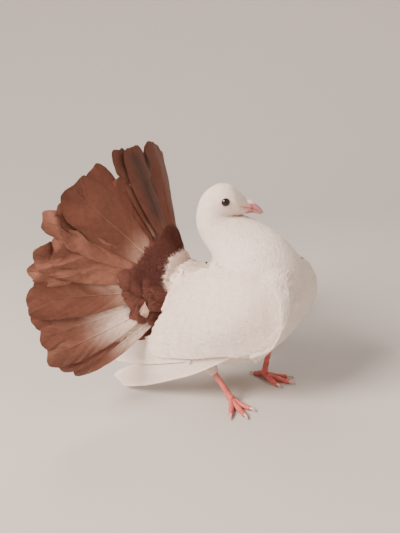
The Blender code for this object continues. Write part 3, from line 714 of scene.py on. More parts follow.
def bodyWeights(fromRing, toRing):
    # cells of the body between two rings with their areas
    rows = np.linspace(fromRing, toRing, 161)
    columns = np.linspace(0, fullTurn, 145)
    t, angle = grid((rows[1:] + rows[:-1]) / 2, (columns[1:] + columns[:-1]) / 2)
    onward, around = bodySlopes(t, angle)
    area = np.linalg.norm(np.cross(onward, around), axis=-1)
    return t, angle, area * (rows[1] - rows[0]) * (columns[1] - columns[0]), rows, columns


def freeOfParts(t, angle):
    # where the coat grows: not under the arm, on the eyes or past the bill's root
    place = bodyPoint(t, angle)
    deep, out, ring = coat["bareArm"]
    grows = ~((armPlace(place[..., 0], place[..., 2]) > deep) & (np.abs(place[..., 1]) > out) & (t < ring))
    for side in (-1, 1):
        centre, outward = eyePlace(side)
        away = place - centre
        beside = away - outward * dot(away, outward)
        grows &= ~((np.linalg.norm(beside, axis=-1) < coat["bareEye"]) & (dot(away, outward)[..., 0] > 0))
    return grows & (t < coat["billRing"])


def makeCoat(name, fromRing, toRing, look, seed, shape):
    # feathers scattered evenly over the rings, their size and set varied a little
    rng = np.random.default_rng(seed)
    t, angle, area, rows, columns = bodyWeights(fromRing, toRing)
    weight = area * freeOfParts(t, angle)
    weight = weight * (np.linalg.norm(bodySlopes(t, angle)[0], axis=-1) > 0.8)
    weight = weight / np.interp(t, *np.transpose(look["scale"])) ** 2
    t, angle = scatter(int(weight.sum() / look["perFeather"]), weight, rows, columns)
    keep = freeOfParts(t, angle)
    t, angle = t[keep], angle[keep]
    order = np.argsort(t)
    t, angle = t[order], angle[order]
    n = len(t)
    size = np.interp(t, *np.transpose(look["scale"]))
    length = rng.uniform(*look["length"], n) * size
    half = rng.uniform(*look["half"], n) * size
    root = bodyPoint(t, angle)
    rump = ease(4.2, 2.5, t) * ease(-0.2, -0.7, np.cos(angle))
    wild = (rng.uniform(0, 1, n) < coat["wildShare"] * rump) * 1.0
    rise = (rng.normal(0, 0.03, n) + rump * rng.uniform(*coat["raised"], n)
            + wild * rng.uniform(*coat["wildRaised"], n))
    length = length * (1 + coat["longer"] * rump)
    turn = rng.normal(0, 0.09, n) * (1 + 2 * rump)
    points, base, s, u = layFeathers(t, angle, length, half, turn, rise, fringe(rng, n, *shape), *shape)
    if fromRing < 9:
        points = overWing(points, base, root[:, None, 0], root[:, None, 2])
    tint = blendTo(whiteTones(rng, n, s, u), coat["wild"], 0.8 * wild[:, None] * ease(0.3, 0.9, s)[None])
    heap = Heap()
    heap.addLenses(points, tint, skinUnwrap(t, angle)[:, None], s, u, shape)
    piece = heap.make(name, whitePlumage)


def makeThighCoat(side):
    # feathers down the thigh to the hock: s around and down the tube of the thigh's own rings
    rng = np.random.default_rng(14 + side)
    rings = thighRings(side, 0.0)
    n = coat["perThigh"]
    row, angle = rng.uniform(0, 13.4, n), rng.uniform(0, fullTurn, n)
    order = np.argsort(row)
    row, angle = row[order][:, None], angle[order][:, None]
    s, u, lower = featherGrid(5, 7)
    middle = rings.mean(1)
    far = np.concatenate([[0], np.cumsum(np.linalg.norm(np.diff(middle, axis=0), axis=-1))])
    length, half = rng.uniform(5.5, 8, n)[:, None], rng.uniform(1.3, 1.9, n)[:, None]
    rows = np.arange(thigh["rows"])
    start = np.interp(row, rows, far)
    down = start + lensReach(length, s, u, fringe(rng, n, 5, 7))
    at = np.interp(down, far, rows)
    radius = np.interp(at, rows, np.linalg.norm(rings - middle[:, None], axis=-1).mean(1))
    turn = (angle + lensWidth(half, s, u) / np.maximum(radius, 2.5)) / fullTurn * rings.shape[1]
    i, j = np.clip(at.astype(int), 0, rows[-2]), np.floor(turn).astype(int)
    fi, fj = (at - i)[..., None], (turn - j)[..., None]
    j, k = j % rings.shape[1], (j + 1) % rings.shape[1]
    above, below = (rings[ring, j] * (1 - fj) + rings[ring, k] * fj for ring in (i, i + 1))
    outside = above * (1 - fi) + below * fi
    centre = middle[i] * (1 - fi) + middle[i + 1] * fi
    high = lensHeight(coat["thighDepth"], s, u, lower, half)
    points = outside + unit(outside - centre) * high[..., None]
    # greyer toward the roots as painted shade under the feathers above, with a random tone each
    share = np.clip(0.3 * (1 - s) + 0.1 * rng.normal(0, 1, (n, 1)), 0, 1)
    tint = blendTo(coat["white"], coat["shade"], share)
    heap = Heap()
    heap.addLenses(points, tint, thighUnwrap(side, angle / fullTurn, row / rows[-1]), s, u)
    piece = heap.make("coat_thigh_" + sideName(side), whitePlumage)


for side in (-1, 1):
    makeThighCoat(side)
makeCoat("coat_back", 0.15, 5.3, coat["torso"], 10, (5, 7))
makeCoat("coat_breast", 5.2, 9.6, coat["torso"], 11, (5, 7))
makeCoat("coat_neck", 9.4, 12.6, coat["neck"], 12, (5, 7))
makeCoat("coat_head", 12.2, coat["billRing"], coat["head"], 13, (4, 5))
print("body feathers laid")


def barbPattern(stations):
    # faces of one strip: three points a station (far edge, ridge, near edge), closed at both ends
    k = np.arange(stations - 1)[:, None] * 3
    quads = np.concatenate([k + [0, 3, 4, 1], k + [1, 4, 5, 2], k + [2, 5, 3, 0]])
    end = (stations - 1) * 3
    return (quads, np.array([[0, 1, 2], [end, end + 2, end + 1]])), stations * 3


def barbPaths(look, sideways, rng):
    # strips run from the shaft to the vane's outline, where they end at even steps along it:
    # half width = half (foot + (1 - foot) ease) (1 - s^power)^square; each strip is a quadratic curve
    s = np.linspace(0, 1, 300)
    a = look["root"] + (look["tip"] - look["root"]) * s
    width = look["half"] * (look["foot"] + (1 - look["foot"]) * ease(0, look["swell"], s))
    square = look.get("square", 0.5)
    width = width * np.clip(1 - s ** look["power"], 0, 1) ** square * look.get("sides", (1, 1))[sideways > 0]
    edge = np.concatenate([[0], np.cumsum(np.hypot(np.diff(a), np.diff(width)))])
    edge /= edge[-1]
    lean = np.radians(look["lean"][0] + (look["lean"][1] - look["lean"][0]) * s)
    start = a - width / np.tan(lean)
    begin = float(np.interp(look["root"], start, edge))
    n, stations = look["barbs"], look["stations"]
    at = begin + (1 - begin) * (np.arange(n) + 0.5) / n
    tau = np.linspace(0, 1, stations)[None, :, None]
    lateral = np.array([1.0, 0.0, -1.0])[None, None, :]
    e = np.clip(at[:, None, None] + lateral * 0.56 * (1 - begin) / n, 0, 1)
    shift = np.zeros(n)
    for _ in range(rng.poisson(look["splits"])):
        middle, opening = rng.uniform(0.25, 0.97), rng.uniform(0.0015, 0.006) * look.get("gape", 1.0)
        away = at - (begin + (1 - begin) * middle)
        shift += np.sign(away) * opening * np.exp(-np.abs(away) / 0.035)
    shift = shift + rng.normal(0, min(look["fray"], 1.5) * 0.07, n) / n
    moved = np.clip(e + shift[:, None, None], 0, 1)
    reach = (1 - np.abs(rng.normal(0, look["fray"], n)) * 0.035)[:, None, None]
    a0 = np.maximum(np.interp(e, edge, start), look["root"])
    a1, b1 = np.interp(moved, edge, a), np.interp(moved, edge, width)
    tau = tau * reach
    first, second, third = (1 - tau) ** 2, 2 * tau * (1 - tau), tau**2
    along1 = first * a0 + second * (a0 + (a1 - a0) * 0.42) + third * a1
    across = (second * b1 * 0.58 + third * b1) * sideways
    return along1, across, tau + 0 * along1, lateral + 0 * along1, at


def layVane(heap, look, place, shade, bakeAt, rng):
    # both rows of strips and the shaft of one feather, set by place(a, b, height)
    faces, size = barbPattern(look["stations"])
    for sideways in (1.0, -1.0):
        a, b, tau, lateral, at = barbPaths(look, sideways, rng)
        n = len(a)
        height = look["thick"] * (lateral == 0) - look["thick"] * 0.35 * lateral
        loose = rng.normal(0, look["fray"] * 0.16, n)[:, None, None] * tau**2
        s = (a - look["root"]) / (look["tip"] - look["root"])
        tone = rng.normal(0, 1, n)
        tone = (0.6 * tone + 0.4 * np.roll(tone, 1))[:, None, None] + 0 * a
        tint = shade(s, b / look["half"], tau, tone)
        root = bakeAt(a[:, :1, 1:2] + 0 * a, b[:, :1, 1:2] + 0 * b)
        patch = root + patchSize * np.stack([lateral * 0.5, tau - 0.5], -1)
        lines = np.stack([tau * 0.2, at[:, None, None] * look["half"] * 0.06 + lateral * 0.01 + 0 * a], -1)
        heap.add(place(a, b, height + loose), repeated(faces, n, size), tint.reshape(-1, 3), patch, lines)
    a = np.linspace(look["quill"], look["root"] + (look["tip"] - look["root"]) * 0.985, 14)[:, None]
    phi = np.linspace(0, fullTurn, 6, endpoint=False)[None]
    s = (a - look["root"]) / (look["tip"] - look["root"])
    radius = look["shaft"] * (1 - 0.88 * np.clip(s, 0, 1))
    level = 0 * a + 0 * phi
    points, faces = closedTube(place(a + level, radius * np.cos(phi),
                                     radius * np.sin(phi) * 0.8 + look["thick"] * 1.2))
    points[-2:] = place(a + level, level, level)[[0, -1], 0]
    tint = shade(np.clip(s, 0, 1) + level, level, level - 1, level).reshape(-1, 3)
    where = bakeAt(a + level, level).reshape(-1, 2)
    heap.add(points, faces, withEnds(tint), withEnds(where))


def whiteShade(s, across, tau, tone):
    # white vanes, a little greyer and warmer at their roots as painted shade under the coverts, the same
    # right across, their shafts ivory
    tint = blendTo(coat["white"], coat["shade"], np.clip(0.35 * (1 - ease(0, 0.6, s)) + 0.05 * tone, 0, 1))
    return blendTo(tint, wing["shaftTint"], 0.6 * (tau < 0))


def wingPlace(side, root, tip, bend, tilt, depth):
    # a along the line from root to tip in x, z and b across it, laid on the wing's outside
    root, line = np.array(root, float), np.array(tip, float) - root
    length = np.hypot(*line)
    line = line / length

    def place(a, b, height):
        s = a / length
        over = b + bend * s * (1 - s)
        x = root[0] + line[0] * a + line[1] * over
        z = root[1] + line[1] * a - line[0] * over
        y = wingOut(x, z) - depth[0] - (depth[1] - depth[0]) * ease(0.3, 1.0, s)
        y = y + b * math.tan(math.radians(tilt)) + height
        return np.stack([x, y * side, z], -1)

    def bakeAt(a, b):
        p = place(a, b, 0 * a)
        return wingUnwrap(side, p[..., 0], p[..., 2])
    return place, bakeAt, length


armLower = np.array([[-70, 50], [-51, 45], [-32, 45.5], [-12, 48], [1, 51], [12, 51], [22, 50.5],
                     [46, 61], [54, 76]], float)


def armTop(x):
    # height of the arm's upper edge
    rows = along(wingRings, np.linspace(0, 6, 80))
    return np.interp(x, rows[::-1, 0], rows[::-1, 2])


def lieOfWing(x, z):
    # the lie as an angle below straight back: along the lower edge there, along the top edge above
    low = np.interp(x, armLower[:, 0], armLower[:, 1])
    high = armTop(x)
    lowSlope = np.interp(x, [-60, -40, -20, 0, 12, 24, 45, 54],
                         [-0.25, 0.02, 0.08, 0.12, 0.1, 0.25, 0.6, 0.9])
    highSlope = np.interp(x, [-45, -20, 0, 30, 54], [0.62, 0.42, 0.2, 0.12, 0.35])
    return lowSlope + (highSlope - lowSlope) * ease(0, 1, (z - low) / np.maximum(high - low, 1))


def wingUnwrap(side, x, z):
    # the wing's outside as it lies in x, z, each wing in its own half
    return np.stack([0.5 * (side > 0) + (x + 125) / 380, z / 130], -1)


def covertSize(x):
    # larger toward the tail: from 1.2 down to 0.7 at the shoulder
    return 1.2 - 0.5 * ease(-40, 45, x)


def layCoverts(heap, side, rootX, rootZ, fall, length, half, depth, rng):
    # lens feathers laid on the wing's outside, rising from depth at the root to the surface at the tip
    n = len(rootX)
    s, u, lower = featherGrid(5, 7)
    length, half = (length * np.ones(n))[:, None], (half * np.ones(n))[:, None]
    wide, forth = lensWidth(half, s, u), lensReach(length, s, u, fringe(rng, n, 5, 7))
    back, down = np.cos(fall)[:, None], np.sin(fall)[:, None]
    px = rootX[:, None] - back * forth - down * wide
    pz = rootZ[:, None] - down * forth + back * wide
    high = rng.normal(0, 0.03, n)[:, None] * s**2 + lensHeight(depth, s, u, lower, half)
    points = np.stack([px, (wingOut(px, pz) + high) * side, pz], -1)
    heap.addLenses(points, whiteTones(rng, n, s, u), wingUnwrap(side, rootX, rootZ)[:, None], s, u)


def makeArm(side):
    # under the coverts: outside and inside grids over x and the way down, joined at the rim
    back, front = wing["arm"]
    x, v = grid(np.linspace(front, back, 60), np.linspace(0, 1, 30))
    z = armTop(x) * (1 - v) + np.interp(x, armLower[:, 0], armLower[:, 1]) * v
    deep = np.interp(x, [back, -20, 20, front], [2.0, 5.0, 8.0, 6.0]) * (0.25 + 0.75 * np.sin(math.pi * v))
    rim = np.minimum(np.minimum(v, 1 - v) * 30, np.minimum(x - back, front - x) / 2)
    y = wingOut(x, z) - wing["shellDepth"] - 0.8 * (1 - ease(0, 3, rim))
    outer, inner = np.stack([x, y * side, z], -1), np.stack([x, (y - deep) * side, z], -1)
    points, faces = closedTube(np.concatenate([outer, inner[:, ::-1]], 1))
    heap = Heap()
    heap.add(points, faces, coat["white"], wingUnwrap(side, points[:, 0], points[:, 2]))
    piece = heap.make("arm_" + sideName(side), whiteSkin, 180.0)


def makeFlight(side, rng):
    # the long feathers, tier by tier from the shoulder's side outward
    heap = Heap()
    for tier in ("outer", "inner", "secondaries"):
        look = wing[tier]
        roots, tips = np.array(look["roots"], float), np.array(look["tips"], float)
        for k in np.linspace(0, 1, look["count"]):
            root = along(roots, k * (len(roots) - 1)) + rng.uniform(-0.5, 0.5, 2)
            tip = along(tips, k * (len(tips) - 1)) + rng.uniform(-0.7, 0.7, 2)
            depth = np.array(look["depth"]) + 0.25 * (1 - k)
            place, bakeAt, length = wingPlace(side, root, tip, rng.uniform(-2, 2), -4.0, depth)
            vane = dict(root=2.0, tip=length, half=look["half"] * rng.uniform(0.96, 1.05), foot=0.45,
                        swell=0.4, power=look["power"], lean=(34, 24), barbs=44, stations=6, thick=0.07,
                        shaft=0.75, quill=-4.0, fray=0.3, splits=0.4, sides=(1.0, 0.9))
            layVane(heap, vane, place, whiteShade, bakeAt, rng)
    piece = heap.make("flight_feathers_" + sideName(side), whitePlumage)


def makeWingCoverts(side, rng):
    # coverts over the arm, scattered in x, z and lying toward the tail
    heap = Heap()
    x, z = np.linspace(-60, 55, 117), np.linspace(42, 120, 79)
    xx, zz = grid((x[1:] + x[:-1]) / 2, (z[1:] + z[:-1]) / 2)
    low = np.interp(xx, armLower[:, 0], armLower[:, 1])
    weight = ((armPlace(xx, zz) > -1.5) & (zz > low + 5) & (xx > -46 + 0.15 * np.abs(zz - 75))) * 1.0
    weight = weight / covertSize(xx) ** 2
    count = int(weight.sum() * (x[1] - x[0]) * (z[1] - z[0]) / wing["perCovert"])
    rootX, rootZ = scatter(count, weight, x, z, 0.3 + 0.1 * side)
    order = np.argsort(rootX)
    rootX, rootZ = rootX[order], rootZ[order]
    size = covertSize(rootX)
    layCoverts(heap, side, rootX, rootZ, lieOfWing(rootX, rootZ) + rng.normal(0, 0.07, count),
               rng.uniform(11, 15, count) * size, rng.uniform(3.2, 4.2, count) * size,
               wing["covertDepth"], rng)
    # one longer row along the lower edge, lapped like tiles over the long feathers' roots
    row = wing["greater"]
    line = resample(armLower[1:8], 400)
    far = np.concatenate([[0], np.cumsum(np.hypot(*np.diff(line, axis=0).T))])
    rootX = np.interp(np.arange(3.0, far[-1], row["step"]), far, line[:, 0]) + 15
    rootX = rootX[rootX < 30]
    rootZ = np.interp(rootX, armLower[:, 0], armLower[:, 1]) + row["half"] * 0.95
    size = 1 - 0.45 * ease(-10, 30, rootX)
    layCoverts(heap, side, rootX, rootZ, lieOfWing(rootX, rootZ), row["length"] * size, row["half"] * size,
               row["depth"], rng)
    piece = heap.make("wing_coverts_" + sideName(side), whitePlumage)
    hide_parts("wing_" + sideName(side))


for side in (-1, 1):
    featherRng = np.random.default_rng(21 + side)
    makeArm(side)
    makeFlight(side, featherRng)
    makeWingCoverts(side, featherRng)
print("wings made")


tail = dict(
    root=np.array([-54.0, 0, 92]), lean=12.0, sweep=(32.0, 38.0), sweepEnds=(75, 60), first=22.0,
    paleWeb=(0.72, 0.60, 0.52), paleShaft=(0.66, 0.50, 0.40), darkStreak=(0.055, 0.027, 0.021),
    wornTip=(0.16, 0.09, 0.065),
    # colours of base, middle and tip, and where along the vane the base gives way to the middle
    tones=dict(
        light=((0.60, 0.43, 0.34), (0.160, 0.061, 0.040), (0.140, 0.050, 0.032), (0.12, 0.50)),
        # the crumpled feathers' brown, lightened past their own colour as painted light against the shade in
        # their creases
        crumpledPaintedLight=((0.50, 0.30, 0.235), (0.260, 0.114, 0.080), (0.225, 0.096, 0.066), (0.10, 0.42)),
        deep=((0.38, 0.19, 0.14), (0.155, 0.052, 0.033), (0.145, 0.047, 0.029), (0.05, 0.42)),
        pale=((0.82, 0.69, 0.61), (0.195, 0.084, 0.058), (0.145, 0.055, 0.036), (0.28, 0.76)),
        dusky=((0.18, 0.07, 0.048), (0.10, 0.034, 0.024), (0.075, 0.026, 0.018), (0.1, 0.5))),
    # right half, middle outward: spread, reach, half width, roll, lift, bend, power, tone,
    # crumple, fold, crease, ruffle, fray, shaft
    right=[
        (-3.0, 130, 9.0, 18, -1.5, 0, 6, "dusky", 1.4, 1.0, 0.6, 1.5, 1.5, 0.6),
        (6.5, 134, 18.0, 4, 1.6, 1, 12, "deep", 0.5, 0.4, 0.3, 0.8, 0.4, 0.2),
        (13.0, 137, 12.0, 5, -0.8, 0.5, 18, "light", 0.5, 0.4, 0.5, 1.2, 0.5, 0.2),
        (21.5, 118, 11.5, 5, -2.4, 0, 9, "light", 1.0, 1.0, 1.0, 2.0, 0.9, 0.1),
        (26.5, 136.5, 13.5, 5, -0.9, 0, 16, "deep", 0.8, 0.6, 0.5, 1.8, 0.5, 0.1),
        (35.0, 140, 18.5, 4, 1.6, 0, 24, "light", 0.7, 0.8, 0.4, 2.0, 0.4, 1.0),
        (40.5, 139.5, 13.0, 8, -1.2, -1, 14, "light", 1.4, 1.6, 2.0, 2.4, 0.6, 0.1),
        (46.5, 144.0, 11.0, 6, -0.6, -1, 6, "crumpledPaintedLight", 1.6, 1.8, 2.6, 2.8, 0.6, 0.1),
        (51.0, 130, 15.0, -5, 1.0, 1, 16, "crumpledPaintedLight", 1.6, 2.4, 3.8, 3.0, 0.8, 0.1),
        (56.5, 138, 14.0, 7, 0.2, -1, 12, "crumpledPaintedLight", 1.6, 2.0, 3.4, 3.2, 0.8, 0.1),
        (61.0, 138, 14.0, 8, -1.4, 0, 12, "crumpledPaintedLight", 1.4, 1.6, 2.6, 2.8, 0.8, 0.1),
        (65.0, 134, 13.0, 8, -2.2, 0, 12, "light", 1.0, 1.0, 1.2, 2.0, 0.6, 0.1),
        (71.5, 140, 21.0, 3, 2.0, 0, 18, "light", 0.5, 0.6, 0.5, 2.0, 0.5, 1.0),
        (80.5, 136.5, 15.0, 5, -1.2, 0, 14, "light", 0.4, 0.5, 0.2, 1.2, 0.5, 0.2),
        (88.5, 135, 17.0, 5, 0.4, -2, 14, "pale", 0.5, 0.6, 0.3, 1.2, 0.4, 0.4),
        (97.5, 134.5, 17.0, 6, 1.0, -3, 14, "pale", 0.5, 0.7, 0.4, 1.6, 0.5, 0.6),
        (103.5, 129, 13.0, 8, -1.6, -2, 10, "light", 0.5, 1.0, 0.3, 0.8, 0.5, 0.4),
        (116.0, 122, 10.5, 6, -0.2, -18, 9, "pale", 0.5, 0.6, 0.3, 0.8, 0.5, 0.7),
        (121.0, 61, 8.0, 6, -3.2, 0, 6, "deep", 0.5, 0.6, 0.3, 0.8, 0.8, 0.1)])


def fanPoint(spread, reach):
    # a point of the fan's middle surface, spread degrees to the bird's right of the middle
    lean, s = math.radians(tail["lean"]), np.radians(spread)
    forward = np.array([math.cos(lean), 0, math.sin(lean)])
    rise, outward = np.array([-math.sin(lean), 0, math.cos(lean)]), np.array([0, -1.0, 0])
    right, left = (math.tan(math.radians(swept)) * ease(0, end, sign * spread)
                   for swept, end, sign in zip(tail["sweep"], tail["sweepEnds"], (1, -1)))
    back = np.where(spread > 0, right, left) * np.abs(np.sin(s))
    way = unit(np.cos(s)[..., None] * rise + np.sin(s)[..., None] * outward - back[..., None] * forward)
    return tail["root"] + way * reach[..., None]


def fanNormal(spread, reach):
    # forward facing directions of the fan's surface
    roundIt = fanPoint(spread + 0.5, reach) - fanPoint(spread - 0.5, reach)
    return unit(np.cross(fanPoint(spread, reach + 0.5) - fanPoint(spread, reach), roundIt))


def overFan(at, reach, high):
    # points standing high over the fan's middle surface
    return fanPoint(at, reach) + fanNormal(at, reach) * high[..., None]


def fanUnwrap(side, spread, reach):
    # degrees across from the middle, reach upward
    return np.stack([0.5 + side * spread / 270, reach / 170], -1)


def fanPlace(side, spread, look, rng):
    # a outward along the fan and b round it, tilted like tiles, arched, curled and waved in height
    phase = rng.uniform(0, fullTurn, 4)
    length = look["tip"] - look["root"]

    def place(a, b, height):
        s = np.clip((a - look["root"]) / length, 0, 1)
        w = b / look["half"]
        loose = ease(0.5, 1.0, s)
        over = b + look["bend"] * s**2 + 0.4 * look["ruffle"] * loose * np.sin(a / 4.3 + phase[1])
        ripple = np.sin(2.6 * w + phase[2]) + 0.6 * np.sin(5.7 * w + phase[0])
        turn = math.radians(look.get("turn", 0.0))
        far = a + look["ruffle"] * loose * ripple - look["root"]
        reach, over = (look["root"] + far * math.cos(turn) - over * math.sin(turn),
                       far * math.sin(turn) + over * math.cos(turn))
        at = side * (spread + np.degrees(over / np.maximum(reach, 8)))
        high = look["lift"] + b * math.tan(math.radians(look["roll"])) - look["arch"] * w**2 * s
        wave = np.sin(a / 11 + b / 7 + phase[0]) * 0.45 + np.sin(a / 6.3 - b / 9 + phase[1]) * 0.3
        wave = wave + np.sin(b / 4.2 + a / 23 + phase[2]) * 0.35
        high = high + look["crumple"] * wave * ease(0.25, 0.8, s) + look["curl"] * loose * w**3
        high = high + look["fold"] * ease(0.2, 0.7, s) * np.sin(w * 2.6 + phase[3] + 0.8 * s)
        creases = 1 - np.abs(np.sin(a / 7.5 + 1.5 * np.sin(b / 5.5 + phase[0]) + phase[3]))
        high = high + look["crease"] * (creases - 0.35) * ease(0.5, 0.78, s)
        high = high + look["droop"] * ease(0.7, 1.0, s)
        return overFan(at, reach, high * look["face"] + height)

    def bakeAt(a, b):
        return fanUnwrap(side, spread + np.degrees(b / np.maximum(a, 8)), a)
    return place, bakeAt


def brownShade(tones, inner=0.0, darkMiddle=0.0, soil=0.0, shaftLight=0.3):
    # base, middle and tip colours along the vane; paler inner web, pale shaft, streaks barb by barb
    base, mid, end = (np.array(c) for c in tones[:3])

    def shade(s, b, tau, tone):
        fade = s + 0.1 * np.abs(b) ** 2
        tint = blendTo(blendTo(base, mid, ease(*tones[3], fade)), end, ease(0.6, 0.97, s))
        pale = inner * ease(-0.1, 0.5, -b) * (1 - ease(0.25, 0.72, s + 0.15 * np.abs(b)))
        tint = blendTo(tint, tail["paleWeb"], np.clip(pale + 0.04 * tone * inner, 0, 1))
        dark = darkMiddle * np.exp(-((b - 0.05) / 0.5) ** 2) * ease(0.25, 0.5, s) * (1 - ease(0.9, 1.0, s))
        tint = blendTo(tint, tail["darkStreak"], dark)
        worn = soil * ease(0.82, 1.0, s) * (0.5 + 0.3 * np.clip(tone, -1, 1))
        tint = blendTo(tint, tail["wornTip"], worn)
        tint = tint * (1 + 0.07 * tone - 0.14 * ease(0.8, 1.0, tau) * (s > 0.3))[..., None]
        shaft = (tau < 0) * shaftLight * (1 - 0.95 * ease(0.08, 0.42, s))
        return np.clip(blendTo(tint, tail["paleShaft"], shaft), 0, 1)
    return shade


def makeTail(side):
    # one half of the fan, side 1 for the bird's right half
    name = sideName(-side)
    rng = np.random.default_rng(31 + side)
    flight = Heap()
    for k, row in enumerate(tail["right"]):
        spread, reach, half, roll, lift, bend, power, tone, crumple, fold, crease, ruffle, fray, shaft = row
        if side < 0:
            # the far half is the same kind of fan with its own draw
            spread, reach = spread + rng.uniform(-1, 1), min(reach, 137) + rng.uniform(-3, 1)
            crumple, fold, crease, fray = min(crumple, 1.2), min(fold, 1.2), min(crease, 0.6), min(fray, 0.8)
        look = dict(root=tail["first"], tip=reach, half=half, foot=0.30, swell=0.75, power=power,
                    lean=(38, 27), barbs=46, stations=7, thick=0.09, shaft=1.0, quill=14.0,
                    fray=fray, splits=1.0 + fray, gape=0.7 + fray, bend=bend, lift=lift, roll=roll,
                    fold=fold, arch=1.0, crumple=crumple, crease=crease, ruffle=ruffle, square=0.3,
                    curl=rng.uniform(-0.6, 0.8) * (0.6 + crumple),
                    droop=rng.uniform(-1.5, 1.5) * (0.4 + crumple), face=1.0)
        place, bakeAt = fanPlace(side, spread, look, rng)
        shade = brownShade(tail["tones"][tone], inner=0.5 * (spread > 60), soil=0.8 * (spread > 92),
                           darkMiddle=0.9 * (k == 1 and side > 0), shaftLight=shaft)
        layVane(flight, look, place, shade, bakeAt, rng)
    piece = flight.make("tail_feathers_" + name, brownPlumage)
    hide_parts("tail_" + name)


for side in (1, -1):
    makeTail(side)


covertTiers = dict(
    # back and lobe tiers: reach, root, half width, lift, step in degrees, first and last degree, face
    tiers=[(60, 26, 9.5, 3.2, 9.0, 61, 112, 1), (51, 20, 9.0, 4.4, 10.5, 64, 112, 1),
           (42, 14, 8.5, 5.6, 11.0, 60, 112, 1), (32, 8, 8.0, 6.8, 13.0, 60, 112, 1),
           (62, 24, 9.0, 2.4, 7.5, 0, 110, -1), (52, 18, 8.5, 3.6, 8.0, 0, 110, -1),
           (41, 12, 8.0, 4.8, 10.0, 0, 110, -1), (31, 8, 7.5, 5.8, 12.0, 0, 110, -1)],
    # soft layers: degrees, inner and outer reach at some of them, area each, length, half width,
    # depth, height in and out, then their loose barbs: count and length
    soft=dict(spread=(-6, 66), at=(-6, 40, 66), inner=(22, 20, 16), outer=(46, 46, 47), perFeather=3.4,
              length=(10, 15), half=(1.9, 2.9), depth=1.6, high=(6.4, 1.4), stray=0.30, ragged=-0.30,
              barbs=2100, barbLength=(6, 12)),
    down=dict(spread=(-30, 92), at=(-30, 0, 25, 38, 56, 75, 92), inner=(2, 2, 2, 2, 2, 2, 2),
              outer=(24, 26, 28, 22, 15, 10, 7), perFeather=3.9, length=(7.5, 10.5), half=(1.5, 2.3),
              depth=1.4, high=(13.0, 5.5), stray=0.22, ragged=-0.20, barbs=3200, barbLength=(3, 8)),
    tufts=((0.115, 0.038, 0.031), (0.19, 0.070, 0.056)),
    maroon=((0.12, 0.044, 0.034), (0.12, 0.041, 0.032), (0.16, 0.061, 0.047), (0.1, 0.6)),
    mixed=((0.135, 0.052, 0.040), (0.135, 0.048, 0.036), (0.20, 0.082, 0.062), (0.1, 0.6)),
    under=((0.45, 0.30, 0.24), (0.33, 0.16, 0.115), (0.29, 0.12, 0.085), (0.1, 0.6)),
    cream=((0.62, 0.45, 0.36), (0.66, 0.50, 0.41), (0.46, 0.27, 0.20), (0.1, 0.6)))


def covertLook(root, tip, half, lift, lobe, rng):
    # settings of one short feather: soft and loose, or a rounded closed lobe
    return dict(root=root, tip=tip, half=half, foot=0.5, swell=0.5, power=4 + 5 * lobe, lean=(36, 20),
                barbs=17, stations=4, thick=0.05, shaft=0.35, quill=max(root - 8, 1), fray=2.6 - 2.0 * lobe,
                splits=1.2 - lobe, gape=3.0, fold=0.0, crease=0.0, ruffle=0.9, bend=rng.normal(0, 3.0),
                lift=lift + rng.normal(0, 0.25), roll=4 + rng.normal(0, 3), arch=0.35 + 0.3 * lobe,
                crumple=0.35, curl=rng.normal(0, 0.4), droop=-0.5 + rng.normal(0, 0.4) + 0.3 * lobe, face=1)


def domeHeight(look, spread, out):
    # height over the fan = out + (in - out) (1 - (r - inner) / (far - inner))^(1/2), and both edges
    inner, outer = (np.interp(spread, look["at"], look[k]) for k in ("inner", "outer"))
    far = outer + 0.8 * np.mean(look["length"])
    near, low = look["high"]
    return low + (near - low) * np.sqrt(np.clip(1 - (out - inner) / (far - inner), 0, 1)), inner, outer


def laySoft(heap, side, face, look, base, light, rng):
    # small lens feathers lying outward over a dome on one face of the fan
    spread, share = np.linspace(*look["spread"], 120), np.linspace(0, 1, 60)
    _, inner, outer = domeHeight(look, (spread[1:] + spread[:-1])[:, None] / 2, 0.0)
    middle = inner + (outer - inner) * (share[1:] + share[:-1]) / 2
    weight = middle * (outer - inner) * math.radians(spread[1] - spread[0]) * (share[1] - share[0])
    n = int(weight.sum() / look["perFeather"])
    sp, part = scatter(n, weight, spread, share, rng.uniform())
    _, inner, outer = domeHeight(look, sp, 0.0)
    re = inner + (outer - inner) * part
    order = np.argsort(-re)
    sp, re = sp[order][:, None], re[order][:, None]
    length, half = rng.uniform(*look["length"], n)[:, None], rng.uniform(*look["half"], n)[:, None]
    s, u, lower = featherGrid(5, 7)
    ragged = fringe(rng, n, 5, 7) * look["ragged"] / -0.17
    turn = rng.normal(0, look["stray"], n)[:, None]
    wide, forth = lensWidth(half, s, u), lensReach(length, s, u, ragged)
    out = re + forth * np.cos(turn) - wide * np.sin(turn)
    over = wide * np.cos(turn) + forth * np.sin(turn)
    high = domeHeight(look, sp, out)[0] + rng.normal(0, 0.25, n)[:, None] * s
    high = high + lensHeight(look["depth"], s, u, lower, half)
    at = side * (sp + np.degrees(over / np.maximum(out, 6)))
    points = overFan(at, out, face * high)
    tone = np.clip(rng.normal(0.3, 0.4, n), 0, 1)[:, None]
    tint = blendTo(base, light, np.clip(tone + 0.35 * ease(0.6, 1, s), 0, 1))
    heap.addLenses(points, tint, fanUnwrap(side, sp, re), s, u)


